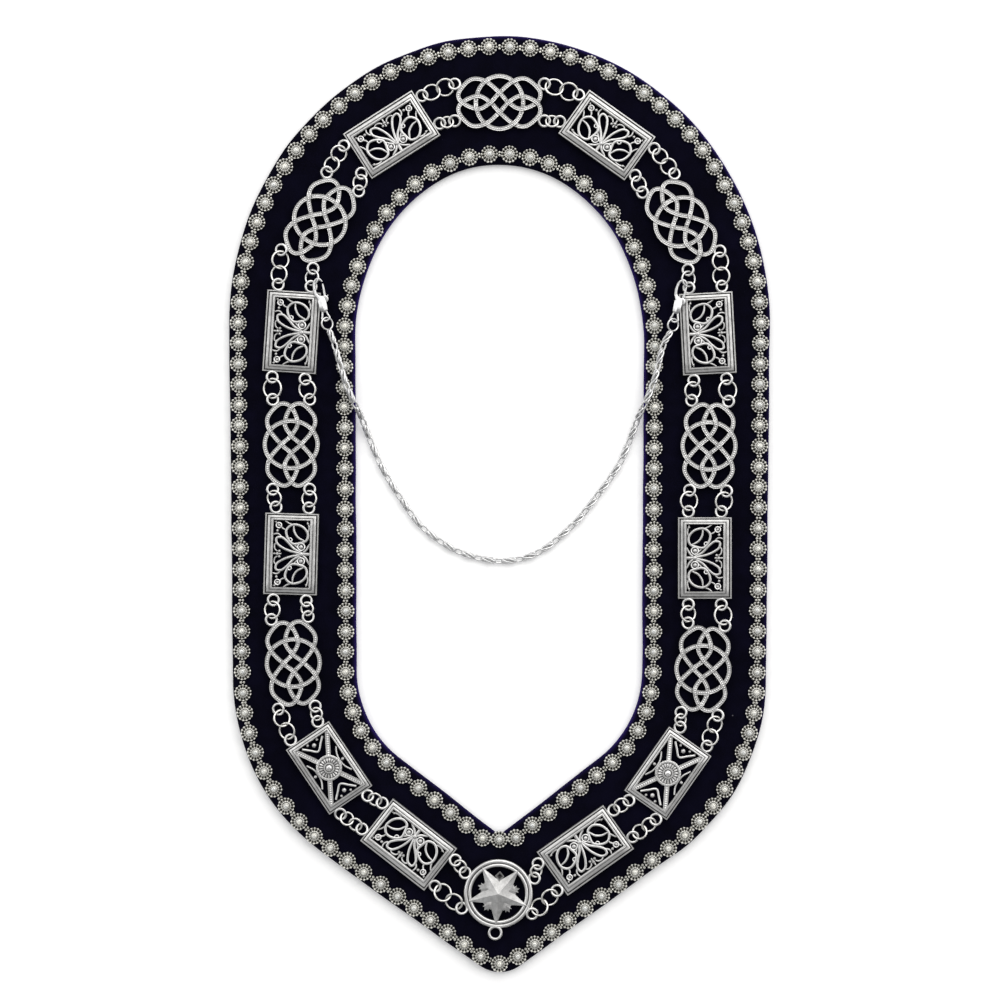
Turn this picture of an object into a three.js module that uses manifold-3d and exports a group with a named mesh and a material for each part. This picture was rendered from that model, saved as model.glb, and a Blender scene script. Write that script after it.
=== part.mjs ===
// Velvet chain collar: a padded velvet band with two stone trims, eighteen linked metal plates
// and a neck chain on two lobster clasps. Millimetres, +Z up, lying face up on its back.
import * as THREE from 'three';
import { mergeVertices } from 'three/addons/utils/BufferGeometryUtils.js';
import Module from 'manifold-3d';

const wasm = await Module();
wasm.setup();

// Velvet band
const velvetThick = 4.6;
const edgeTuck = 1.6;
const edgeLow = 1.3;
const edgeHigh = 3.2;
const shoulderIn = 1.2;
const shoulderDrop = 0.2;
const flatIn = 4.2;
const outerOutline = {
  half: 146.8, crown: 157.1, spring: 96.9, halfLow: 144.6, bend: -94.8, bendRadius: 116.4, bendTurn: 54.3,
  point: -258.4, tipRadius: 19.0,
};
const innerOutline = {
  half: 78.3, crown: 96.4, spring: 87.7, halfLow: 77.4, bend: -89.9, bendRadius: 60.7, bendTurn: 52.4,
  point: -179.8, tipRadius: 1.5,
};
const outlineSteps = { crown: 10, side: 2, bend: 4, slope: 2, tip: 3 };

// Clearance between pieces that lie on one another
const rest = 0.3;

// Stone trims
const trimWide = 9.7;
const trimEdgeHigh = 0.8;
const trimStepHigh = 1.5;
const trimHigh = 2.6;
const trimStepWide = 6.0;
const trimCrestWide = 3.2;
const outerTrim = { crown: 6.4, side: 5.3, slope: 5.0, corner: 5.0 };
const innerTrim = { crown: 5.9, side: 5.9, slope: 6.4, corner: 2.4 };

// Plates
const plateLow = velvetThick + rest;
const plateTop = 7.9;
const rimHigh = 0.5;
const scrollPlate = { long: 44.2, wide: 29.2, windowLong: 36.0, windowWide: 19.6 };
const barPlate = { long: 42.4, wide: 28.2, windowLong: 34.6, windowWide: 20.2 };
const rimWide = 1.3;
const webLow = 5.5;
const webTop = 7.4;

// Cast loops on the plates and the jump rings that join them
const loopRadius = 2.7;
const loopWire = 0.65;
const loopLean = 14;
const loopReach = 3.0;
const plateLoopAcross = 8.9;
const knotLoopAcross = 10.0;
const knotLoopAlong = 24.3;
const ringWire = 0.55;
const ringSides = 4;
const ringSteps = 8;
const ringLean = 24;
const ringInLoop = 0.8;
const ringLap = 1.4;
const ringLeast = 3.5;
const longestSingle = 12.4;
const ringHeight = velvetThick + 2.85;

// Interlaced knot, one quarter of it: its outer edge, then the gaps between the strands
const knotEdge = [
  { x: 5.6, y: 23.4 }, { x: 11.0, y: 20.9 }, { x: 13.6, y: 16.4 }, { x: 14.0, y: 12.4 }, { x: 12.7, y: 8.6 },
  { x: 14.8, y: 5.0 },
];
const knotTopNotch = 21.6;
const knotSide = 15.8;
const knotLobeGap = [
  { x: 4.9, y: 13.6 }, { x: 3.0, y: 19.1 }, { x: 6.0, y: 20.5 }, { x: 9.8, y: 18.3 }, { x: 11.2, y: 13.6 },
  { x: 10.8, y: 10.6 },
];
const knotInnerGap = [
  { x: 1.8, y: 5.2 }, { x: 4.7, y: 10.4 }, { x: 7.3, y: 9.4 }, { x: 9.5, y: 7.4 }, { x: 5.2, y: 2.0 },
];
const knotSideGap = { near: 7.2, far: 13.0, cornerX: 11.6, cornerY: 5.0 };
const knotMiddleGap = { across: 3.2, along: 3.0 };

// Gaps cut through one half of a scroll plate's web, the other half mirrored
const scrollGaps = [
  { x: 4.2, y: 10.6, long: 4.6, wide: 2.6, turn: 62 },
  { x: -4.4, y: 6.2, long: 4.4, wide: 2.2, turn: -38 },
];
const gapSides = 8;

// Crossed bars and round boss in the two barred plates
const barWide = 2.6;
const bossRadius = 7.0;
const bossHigh = 1.0;

// Star roundel
const roundel = { outer: 18.7, inner: 14.4, crest: 16.5, starOut: 15.2, starIn: 6.6, starHigh: 1.6 };
const roundelLoopReach = 2.6;
const roundelInnerAngle = 62.2;
const roundelOuterAngle = 116.0;
const pendantLoop = { radius: 3.3, wire: 0.75, reach: 2.5 };
const leafOut = 10.6;
const leafWide = 2.6;

// Lobster clasps
const clasp = {
  thick: 1.6, tip: 19.5, holeY: 13.3, holeAcross: 1.8, holeAlong: 4.4, pivotX: 2.1, pivotY: 7.4, pin: 0.45,
  slot: 1.0, leverThick: 0.7, leverHole: 0.8, leverTop: 15.8, tailThick: 0.9, tailWide: 2.1, tailEnd: -4.6,
  tailHoleWide: 1.3, tailHoleEnd: -3.8,
};
const claspEdge = [
  { x: 1.3, y: 1.4 }, { x: 2.6, y: 3.4 }, { x: 3.1, y: 6.0 }, { x: 3.4, y: 10.2 }, { x: 3.3, y: 14.4 },
  { x: 2.6, y: 17.5 }, { x: 1.4, y: 19.1 },
];
const claspGate = { near: 1.0, far: 4.8, low: 9.0, high: 16.1 };
const claspSlot = { near: 0.6, far: 4.8, low: 5.4, high: 9.8 };
const leverEdge = [
  { x: 1.2, y: 6.3 }, { x: 2.8, y: 6.1 }, { x: 3.4, y: 7.2 }, { x: 3.9, y: 9.4 }, { x: 3.2, y: 10.2 },
  { x: 3.1, y: 15.8 }, { x: 1.7, y: 15.8 }, { x: 1.5, y: 10.0 }, { x: 0.9, y: 8.6 },
];
const claspLean = 13;
const claspLift = 1.9;
const heldRingLean = 31;
const hookBelow = -0.1;
const tailRing = { radius: 2.4, wire: 0.5, lean: 60, inLoop: -2.5 };

// Neck chain as a plain tube; heights are those of its middle
const chainRadius = 1.9;
const chainSides = 8;
const chainSteps = 46;
const chainRoute = [
  { x: -89.4, y: 86.7, z: 9.4 }, { x: -84.0, y: 68.0, z: 9.8 }, { x: -79.4, y: 56.4, z: 9.3 },
  { x: -75.2, y: 48.0, z: 5.6 }, { x: -71.2, y: 37.4, z: 2.2 }, { x: -64.0, y: 20.5, z: 2.0 },
  { x: -53.9, y: 3.6, z: 2.0 }, { x: -41.5, y: -12.8, z: 2.0 }, { x: -22.4, y: -25.6, z: 2.0 },
  { x: 0.3, y: -30.9, z: 2.0 }, { x: 20.7, y: -26.4, z: 2.0 }, { x: 39.8, y: -11.4, z: 2.0 },
  { x: 53.3, y: 4.9, z: 2.0 }, { x: 64.7, y: 21.1, z: 2.0 }, { x: 72.0, y: 38.0, z: 2.2 },
  { x: 75.6, y: 48.0, z: 5.6 }, { x: 79.6, y: 56.4, z: 9.3 }, { x: 84.0, y: 68.0, z: 9.8 },
  { x: 88.6, y: 85.6, z: 9.4 },
];

// Plates clockwise from the top: share of the way round the band, share of the band's width from its
// outer edge, and the direction of the side facing the opening
const plateStations = [
  { name: 'top_knot', kind: 'knot', round: 0, across: 0.525, turn: -90 },
  { name: 'right_top_scroll', kind: 'scroll', round: 0.057, across: 0.509, turn: -125.5 },
  { name: 'right_top_knot', kind: 'knot', round: 0.1143, across: 0.505, turn: -149.5 },
  { name: 'right_upper_scroll', kind: 'scroll', round: 0.1716, across: 0.498, turn: -177 },
  { name: 'right_middle_knot', kind: 'knot', round: 0.2272, across: 0.48, turn: 178.7 },
  { name: 'right_lower_scroll', kind: 'scroll', round: 0.2826, across: 0.506, turn: 180 },
  { name: 'right_lower_knot', kind: 'knot', round: 0.3376, across: 0.514, turn: 175.5 },
  { name: 'right_barred_plate', kind: 'barred', round: 0.3935, across: 0.518, turn: 145 },
  { name: 'right_bottom_scroll', kind: 'scroll', round: 0.4492, across: 0.467, turn: 125.3 },
  { name: 'star_roundel', kind: 'roundel', round: 0.5007, across: 0.577, turn: 85.5 },
  { name: 'left_bottom_scroll', kind: 'scroll', round: 0.5543, across: 0.481, turn: 52 },
  { name: 'left_barred_plate', kind: 'barred', round: 0.6093, across: 0.529, turn: 34 },
  { name: 'left_lower_knot', kind: 'knot', round: 0.6656, across: 0.492, turn: 4.5 },
  { name: 'left_lower_scroll', kind: 'scroll', round: 0.7194, across: 0.482, turn: -1.6 },
  { name: 'left_middle_knot', kind: 'knot', round: 0.7735, across: 0.49, turn: 0 },
  { name: 'left_upper_scroll', kind: 'scroll', round: 0.8292, across: 0.5, turn: -3.7 },
  { name: 'left_top_knot', kind: 'knot', round: 0.8868, across: 0.514, turn: -30.5 },
  { name: 'left_top_scroll', kind: 'scroll', round: 0.943, across: 0.504, turn: -57.5 },
];

const group = new THREE.Group();
const finish = (name, color, roughness, metalness) => (
  new THREE.MeshStandardMaterial({ name, color, roughness, metalness }));
const velvet = finish('velvet', 0x0b0b18, 0.95, 0);
const silver = finish('silver', 0xb9b8b2, 0.3, 1);
const stones = finish('stones', 0xdedcd2, 0.2, 0.6);

const radians = THREE.MathUtils.degToRad;
const up = new THREE.Vector3(0, 0, 1);

function add(name, geometry, material) {
  const mesh = new THREE.Mesh(geometry, material);
  mesh.name = name;
  group.add(mesh);
}

// A solid from points and triangles, turned outside out if it came out reversed
function solid(points, faces) {
  let volume = 0;
  for (const [a, b, c] of faces) {
    const [p, q, r] = [points[a], points[b], points[c]];
    volume += p[0] * (q[1] * r[2] - q[2] * r[1]) - p[1] * (q[0] * r[2] - q[2] * r[0])
      + p[2] * (q[0] * r[1] - q[1] * r[0]);
  }
  const geometry = new THREE.BufferGeometry();
  geometry.setAttribute('position', new THREE.Float32BufferAttribute(points.flat(), 3));
  geometry.setIndex(faces.flatMap(([a, b, c]) => (volume > 0 ? [a, b, c] : [a, c, b])));
  geometry.computeVertexNormals();
  return geometry;
}

// Sections of equal length joined in order, round to the first again or capped at both ends
function loft(sections, closed) {
  const sides = sections[0].length;
  const spans = closed ? sections.length : sections.length - 1;
  const faces = [];
  for (let i = 0; i < spans; i++) {
    const here = i * sides;
    const next = ((i + 1) % sections.length) * sides;
    for (let j = 0; j < sides; j++) {
      const k = (j + 1) % sides;
      faces.push([here + j, here + k, next + k], [here + j, next + k, next + j]);
    }
  }
  if (!closed) {
    const last = (sections.length - 1) * sides;
    for (let j = 1; j < sides - 1; j++) {
      faces.push([0, j + 1, j], [last, last + j, last + j + 1]);
    }
  }
  return solid(sections.flat(), faces);
}

// Points along one half of an outline, from the crown to the tip
function halfOutline(o) {
  const steps = outlineSteps;
  const points = [];
  for (let i = 0; i < steps.crown; i++) {
    const a = radians((90 * i) / steps.crown);
    points.push([o.half * Math.sin(a), o.spring + o.crown * Math.cos(a)]);
  }
  for (let i = 0; i < steps.side; i++) {
    const t = i / steps.side;
    points.push([o.half + (o.halfLow - o.half) * t, o.spring + (o.bend - o.spring) * t]);
  }
  for (let i = 0; i < steps.bend; i++) {
    const a = radians((o.bendTurn * i) / steps.bend);
    points.push([o.halfLow - o.bendRadius * (1 - Math.cos(a)), o.bend - o.bendRadius * Math.sin(a)]);
  }
  const turn = radians(o.bendTurn);
  const bendEnd = [o.halfLow - o.bendRadius * (1 - Math.cos(turn)), o.bend - o.bendRadius * Math.sin(turn)];
  const length = Math.hypot(bendEnd[0], bendEnd[1] - o.point);
  const slope = Math.atan2(bendEnd[0], bendEnd[1] - o.point);
  const back = o.tipRadius / Math.tan(slope) / length;
  const tipStart = [bendEnd[0] * back, o.point + (bendEnd[1] - o.point) * back];
  for (let i = 0; i < steps.slope; i++) {
    const t = i / steps.slope;
    points.push([bendEnd[0] + (tipStart[0] - bendEnd[0]) * t, bendEnd[1] + (tipStart[1] - bendEnd[1]) * t]);
  }
  const middle = o.point + o.tipRadius / Math.sin(slope);
  for (let i = 0; i <= steps.tip; i++) {
    const a = (Math.PI / 2 - slope) * (1 - i / steps.tip);
    points.push([o.tipRadius * Math.sin(a), middle - o.tipRadius * Math.cos(a)]);
  }
  return points;
}

// The whole outline clockwise from the crown
function outline(o) {
  const right = halfOutline(o);
  const left = right.slice(1, -1).reverse().map(([x, y]) => [-x, y]);
  return [...right, ...left];
}

// Points moved sideways off a closed outline; amounts may differ from point to point
function inset(points, amount) {
  return points.map((p, i) => {
    const before = points[(i + points.length - 1) % points.length];
    const after = points[(i + 1) % points.length];
    const a = new THREE.Vector2(p[0] - before[0], p[1] - before[1]).normalize();
    const b = new THREE.Vector2(after[0] - p[0], after[1] - p[1]).normalize();
    const normal = new THREE.Vector2(a.y + b.y, -a.x - b.x).normalize();
    const stretch = 1 / Math.max(0.6, normal.x * a.y - normal.y * a.x);
    const move = (typeof amount === 'function' ? amount(i) : amount) * stretch;
    return [p[0] + normal.x * move, p[1] + normal.y * move];
  });
}

// Velvet band
const outerEdge = outline(outerOutline);
const innerEdge = outline(innerOutline);

const middleLine = outerEdge.map(([x, y], i) => [(x + innerEdge[i][0]) / 2, (y + innerEdge[i][1]) / 2]);
const wayRound = [0];
middleLine.forEach(([x, y], i) => {
  const next = middleLine[(i + 1) % middleLine.length];
  wayRound.push(wayRound[i] + Math.hypot(next[0] - x, next[1] - y));
});

// A place on the band, by the share of the way round its middle line and the share of its width
function onBand(round, across) {
  const way = round * wayRound[wayRound.length - 1];
  const i = wayRound.findIndex((length) => length > way) - 1;
  const k = (i + 1) % middleLine.length;
  const part = (way - wayRound[i]) / (wayRound[i + 1] - wayRound[i]);
  const [outer, inner] = [outerEdge, innerEdge].map((edge) => (
    new THREE.Vector2(...edge[i]).lerp(new THREE.Vector2(...edge[k]), part)));
  return outer.lerp(inner, across);
}
const plates = plateStations.map((plate) => {
  const { x, y } = onBand(plate.round, plate.across);
  return { ...plate, x, y };
});

function velvetBand() {
  const rows = [
    { edge: outerEdge, sign: 1, in: edgeTuck, z: 0 },
    { edge: outerEdge, sign: 1, in: 0, z: edgeLow },
    { edge: outerEdge, sign: 1, in: 0, z: edgeHigh },
    { edge: outerEdge, sign: 1, in: shoulderIn, z: velvetThick - shoulderDrop },
    { edge: outerEdge, sign: 1, in: flatIn, z: velvetThick },
    { edge: innerEdge, sign: -1, in: flatIn, z: velvetThick },
    { edge: innerEdge, sign: -1, in: shoulderIn, z: velvetThick - shoulderDrop },
    { edge: innerEdge, sign: -1, in: 0, z: edgeHigh },
    { edge: innerEdge, sign: -1, in: 0, z: edgeLow },
    { edge: innerEdge, sign: -1, in: edgeTuck, z: 0 },
  ];
  const lines = rows.map((row) => ({ z: row.z, points: inset(row.edge, row.sign * row.in) }));
  return loft(outerEdge.map((p, i) => lines.map((line) => [...line.points[i], line.z])), true);
}
add('velvet_collar', velvetBand(), velvet);

// Stone trims, low crested strips that follow the two edges
function trimInset(trim) {
  const { crown, side, bend, slope, tip } = outlineSteps;
  const marks = [
    { at: 0, value: trim.crown }, { at: crown, value: trim.side }, { at: crown + side, value: trim.side },
    { at: crown + side + bend, value: trim.slope }, { at: crown + side + bend + slope, value: trim.slope },
    { at: crown + side + bend + slope + tip, value: trim.corner },
  ];
  const last = marks[marks.length - 1].at;
  return (i) => {
    const k = i <= last ? i : 2 * last - i;
    const after = Math.max(1, marks.findIndex((mark) => mark.at >= k));
    const [a, b] = [marks[after - 1], marks[after]];
    return a.value + ((b.value - a.value) * (k - a.at)) / (b.at - a.at);
  };
}

function trimStrip(edge, sign, trim) {
  const middle = inset(edge, (i) => sign * trimInset(trim)(i));
  const rows = [
    { across: -trimWide / 2, z: 0 }, { across: trimWide / 2, z: 0 },
    { across: trimWide / 2, z: trimEdgeHigh },
    { across: trimStepWide / 2, z: trimStepHigh }, { across: trimCrestWide / 2, z: trimHigh },
    { across: -trimCrestWide / 2, z: trimHigh }, { across: -trimStepWide / 2, z: trimStepHigh },
    { across: -trimWide / 2, z: trimEdgeHigh },
  ];
  const lines = rows.map((row) => ({ z: velvetThick + rest + row.z, points: inset(middle, row.across) }));
  return loft(middle.map((p, i) => lines.map((line) => [...line.points[i], line.z])), true);
}
add('outer_stone_trim', trimStrip(outerEdge, 1, outerTrim), stones);
add('inner_stone_trim', trimStrip(innerEdge, -1, innerTrim), stones);

// Solids to and from the boolean kernel
function toManifold(geometry) {
  const bare = geometry.clone();
  bare.deleteAttribute('normal');
  bare.deleteAttribute('uv');
  const merged = mergeVertices(bare, 1e-4);
  return new wasm.Manifold(new wasm.Mesh({
    numProp: 3,
    vertProperties: new Float32Array(merged.attributes.position.array),
    triVerts: new Uint32Array(merged.index.array),
  }));
}

function toGeometry(manifold) {
  const mesh = manifold.getMesh();
  const geometry = new THREE.BufferGeometry();
  geometry.setAttribute('position', new THREE.BufferAttribute(new Float32Array(mesh.vertProperties), 3));
  geometry.setIndex(new THREE.BufferAttribute(new Uint32Array(mesh.triVerts), 1));
  geometry.computeVertexNormals();
  return geometry;
}

function join(pieces) {
  return pieces.map(toManifold).reduce((whole, piece) => whole.add(piece));
}

// Flat outline with holes, raised from one height to another
function prism(outer, holes, low, high) {
  const shape = new THREE.Shape(outer.map(([x, y]) => new THREE.Vector2(x, y)));
  shape.holes = holes.map((hole) => new THREE.Path(hole.map(([x, y]) => new THREE.Vector2(x, y))));
  const geometry = new THREE.ExtrudeGeometry(shape, { depth: high - low, bevelEnabled: false });
  return geometry.translate(0, 0, low);
}

function rectangle(along, across) {
  const [a, b] = [along / 2, across / 2];
  return [[-b, -a], [b, -a], [b, a], [-b, a]];
}

function oval(x, y, radiusX, radiusY, sides, turn = 0) {
  const [c, s] = [Math.cos(turn), Math.sin(turn)];
  return Array.from({ length: sides }, (_, i) => {
    const a = ((i + 0.5) * 2 * Math.PI) / sides;
    const [u, v] = [radiusX * Math.cos(a), radiusY * Math.sin(a)];
    return [x + u * c - v * s, y + u * s + v * c];
  });
}

// Where a plate's cast loops sit in its own frame: across is towards the opening, along is clockwise
function loopPlace(plate, inner, ahead) {
  const side = inner ? 1 : -1;
  const end = ahead ? 1 : -1;
  if (plate.kind === 'roundel') {
    const a = radians(inner ? roundelInnerAngle : roundelOuterAngle);
    const out = roundel.outer + roundelLoopReach;
    return { x: out * Math.cos(a), y: end * out * Math.sin(a) };
  }
  if (plate.kind === 'knot') {
    return { x: side * knotLoopAcross, y: end * knotLoopAlong };
  }
  const long = plate.kind === 'scroll' ? scrollPlate.long : barPlate.long;
  return { x: side * plateLoopAcross, y: end * (long / 2 + loopReach) };
}

function onCollar(plate, place) {
  const a = radians(plate.turn);
  return new THREE.Vector3(
    plate.x + place.x * Math.cos(a) - place.y * Math.sin(a),
    plate.y + place.x * Math.sin(a) + place.y * Math.cos(a),
    ringHeight,
  );
}

// Rings between each plate and the next, on the inner and the outer side
const strandsOfRings = plates.flatMap((plate, i) => [true, false].map((inner) => {
  const next = plates[(i + 1) % plates.length];
  const from = onCollar(plate, loopPlace(plate, inner, true));
  const to = onCollar(next, loopPlace(next, inner, false));
  const gap = from.distanceTo(to);
  const count = gap > longestSingle ? 2 : 1;
  const radius = count === 1 ? gap / 2 - ringInLoop
    : Math.max(ringLeast, (gap - 2 * ringInLoop + ringLap) / 4);
  return { number: i + 1, inner, from, to, gap, count, radius, plate, next };
}));

// A ring lying along a direction and leaning about it, its inner side up for a positive lean
function ring(centre, along, lean, radius, wire, sides, steps) {
  const geometry = new THREE.TorusGeometry(radius, wire, sides, steps);
  const across = new THREE.Vector3(along.y, -along.x, 0).multiplyScalar(Math.cos(lean));
  across.z = Math.sin(lean);
  const axis = new THREE.Vector3().crossVectors(along, across);
  const frame = new THREE.Matrix4().makeBasis(along, across, axis).setPosition(centre);
  return geometry.rotateZ(Math.PI / steps).applyMatrix4(frame);
}

function ringsOf(row, leanAngle = ringLean) {
  const along = row.to.clone().sub(row.from).normalize();
  const reach = row.radius + ringInLoop;
  const lean = radians(leanAngle);
  const link = (centre, tilt) => ring(centre, along, tilt, row.radius, ringWire, ringSides, ringSteps);
  const first = link(row.from.clone().addScaledVector(along, reach), lean);
  return row.count === 1 ? [first] : [first, link(row.to.clone().addScaledVector(along, -reach), -lean)];
}

// Two rings that pass through one another bear on each other at one place, where they are fused
function fuseRings(row) {
  const along = row.to.clone().sub(row.from).normalize();
  const reach = row.radius + ringInLoop;
  const startOfSecond = row.to.clone().addScaledVector(along, -reach - row.radius);
  const endOfFirst = row.from.clone().addScaledVector(along, reach + row.radius);
  const bead = new THREE.BoxGeometry(startOfSecond.distanceTo(endOfFirst), ringWire, ringWire);
  bead.rotateZ(Math.atan2(along.y, along.x));
  const middle = startOfSecond.add(endOfFirst).multiplyScalar(0.5);
  return bead.translate(middle.x, middle.y, middle.z);
}

// Cast loops of a plate, each leaning against the ring in it
function castLoops(plate) {
  return [true, false].flatMap((inner) => [true, false].map((ahead) => {
    const row = strandsOfRings.find((r) => r.inner === inner && (ahead ? r.plate : r.next) === plate);
    const lean = radians(ahead || row.count === 1 ? -loopLean : loopLean);
    const place = loopPlace(plate, inner, ahead);
    const along = row.to.clone().sub(row.from).normalize().applyAxisAngle(up, radians(-plate.turn));
    const middle = new THREE.Vector3(place.x, place.y, ringHeight);
    return ring(middle, along, lean, loopRadius, loopWire, 4, 8);
  }));
}

// Frame shared by the scroll plates and the barred plates
function frame(size) {
  const outer = rectangle(size.long, size.wide);
  const window = rectangle(size.windowLong, size.windowWide);
  const ledge = rectangle(size.long - 2 * rimWide, size.wide - 2 * rimWide);
  const ridge = rectangle(size.windowLong + 2 * rimWide, size.windowWide + 2 * rimWide);
  return [
    prism(outer, [window], plateLow, plateTop),
    prism(outer, [ledge], plateTop - rimHigh, plateTop + rimHigh / 2),
    prism(ridge, [window], plateTop - rimHigh, plateTop + rimHigh),
  ];
}

function scrollPieces() {
  const gaps = scrollGaps.flatMap((gap) => [1, -1].map((side) => (
    oval(gap.x, side * gap.y, gap.long, gap.wide, gapSides, side * radians(gap.turn)))));
  const web = rectangle(scrollPlate.windowLong + rimWide, scrollPlate.windowWide + rimWide);
  return [...frame(scrollPlate), prism(web, gaps, webLow, webTop)];
}

function knotPieces() {
  const quarter = knotEdge.map((p) => [p.x, p.y]);
  const lower = quarter.slice().reverse().map(([x, y]) => [x, -y]);
  const half = [[0, knotTopNotch], ...quarter, [knotSide, 0], ...lower];
  const outer = [...half, [0, -knotTopNotch], ...half.slice(1).reverse().map(([x, y]) => [-x, y])];
  const quarters = [[1, 1], [-1, 1], [1, -1], [-1, -1]];
  const fourGaps = (rows) => quarters.map(([sx, sy]) => rows.map((p) => [sx * p.x, sy * p.y]));
  const { near, far, cornerX, cornerY } = knotSideGap;
  const sides = [1, -1].map((s) => [
    [s * near, 0], [s * cornerX, cornerY], [s * far, 0], [s * cornerX, -cornerY],
  ]);
  const { across, along } = knotMiddleGap;
  const middle = [[across, 0], [0, along], [-across, 0], [0, -along]];
  const gaps = [...fourGaps(knotLobeGap), ...fourGaps(knotInnerGap), ...sides, middle];
  const body = toManifold(prism(outer, [], plateLow, plateTop));
  const cuts = gaps.map((gap) => toManifold(prism(gap, [], plateLow - 1, plateTop + 1)));
  return [toGeometry(cuts.reduce((whole, cut) => whole.subtract(cut), body))];
}

function barredPieces() {
  const [a, b] = [barPlate.windowLong / 2 + rimWide / 2, barPlate.windowWide / 2 + rimWide / 2];
  const bar = (sign) => {
    const along = new THREE.Vector2(sign * b, a).normalize();
    const [x, y] = [(along.y * barWide) / 2, (-along.x * barWide) / 2];
    const corners = [
      [-sign * b - x, -a - y], [-sign * b + x, -a + y], [sign * b + x, a + y], [sign * b - x, a - y],
    ];
    return prism(corners, [], webLow, webTop);
  };
  return [
    ...frame(barPlate), bar(1), bar(-1),
    prism(oval(0, 0, bossRadius, bossRadius, 16), [], plateLow, webTop + bossHigh),
  ];
}

function roundelPieces() {
  const section = [
    { r: roundel.inner, z: plateLow }, { r: roundel.outer, z: plateLow }, { r: roundel.outer, z: plateTop },
    { r: (roundel.outer + roundel.crest) / 2, z: plateTop + rimHigh }, { r: roundel.crest, z: plateTop },
    { r: (roundel.inner + roundel.crest) / 2, z: plateTop + rimHigh }, { r: roundel.inner, z: plateTop },
  ];
  const rim = Array.from({ length: 20 }, (_, i) => {
    const a = (i * Math.PI) / 10;
    return section.map((p) => [p.r * Math.cos(a), p.r * Math.sin(a), p.z]);
  });
  const star = Array.from({ length: 10 }, (_, i) => {
    const a = Math.PI + (i * Math.PI) / 5;
    const r = i % 2 ? roundel.starIn : roundel.starOut;
    return [r * Math.cos(a), r * Math.sin(a)];
  });
  const low = star.map(([x, y]) => [x, y, webLow]);
  const high = star.map(([x, y]) => [x, y, webTop - 0.4]);
  const faces = [];
  for (let i = 0; i < 10; i++) {
    const k = (i + 1) % 10;
    faces.push([i, k, 10 + k], [i, 10 + k, 10 + i], [20, 10 + i, 10 + k], [21, k, i]);
  }
  const peak = [[0, 0, webTop + roundel.starHigh - 0.4], [0, 0, webLow]];
  const leaves = Array.from({ length: 5 }, (_, i) => {
    const a = Math.PI + ((2 * i + 1) * Math.PI) / 5;
    const shoulder = roundel.starIn + 1;
    const leaf = [[roundel.starIn - 2, 0], [shoulder, -leafWide], [leafOut, 0], [shoulder, leafWide]];
    return prism(leaf, [], webLow, webTop).rotateZ(a);
  });
  const hanger = new THREE.TorusGeometry(pendantLoop.radius, pendantLoop.wire, 5, 10);
  return [
    loft(rim, true), solid([...low, ...high, ...peak], faces), ...leaves,
    hanger.translate(-roundel.outer - pendantLoop.reach, 0, ringHeight),
  ];
}

const makers = { knot: knotPieces, scroll: scrollPieces, barred: barredPieces, roundel: roundelPieces };
for (const plate of plates) {
  const geometry = toGeometry(join([...makers[plate.kind](), ...castLoops(plate)]));
  geometry.rotateZ(radians(plate.turn)).translate(plate.x, plate.y, 0);
  add(plate.name, geometry, silver);
}

// Lobster clasps, one at each side; local +Y runs from the tail to the hook
function box(size, low, high) {
  const { near, far } = size;
  const corners = [[near, size.low], [far, size.low], [far, size.high], [near, size.high]];
  return toManifold(prism(corners, [], low, high));
}

function claspBody() {
  const right = claspEdge.map((p) => [p.x, p.y]);
  const edge = [...right, [0, clasp.tip], ...right.slice().reverse().map(([x, y]) => [-x, y])];
  const hole = oval(0, clasp.holeY, clasp.holeAcross, clasp.holeAlong, 10);
  const half = clasp.thick / 2;
  const tailLoop = (wide, end, start) => oval(0, (end + start) / 2, wide, (start - end) / 2, 8);
  const tail = prism(
    tailLoop(clasp.tailWide, clasp.tailEnd, 2.2), [tailLoop(clasp.tailHoleWide, clasp.tailHoleEnd, 1.2)],
    -clasp.tailThick / 2, clasp.tailThick / 2,
  );
  const pin = new THREE.CylinderGeometry(clasp.pin, clasp.pin, clasp.thick - 0.1, 8).rotateX(Math.PI / 2);
  return join([prism(edge, [hole], -half, half), tail])
    .subtract(box(claspGate, -clasp.thick, clasp.thick))
    .subtract(box(claspSlot, -clasp.slot / 2, clasp.slot / 2))
    .add(toManifold(pin.translate(clasp.pivotX, clasp.pivotY, 0)));
}

function claspLever() {
  const hole = oval(clasp.pivotX, clasp.pivotY, clasp.leverHole, clasp.leverHole, 8);
  return prism(leverEdge.map((p) => [p.x, p.y]), [hole], -clasp.leverThick / 2, clasp.leverThick / 2);
}

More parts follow.
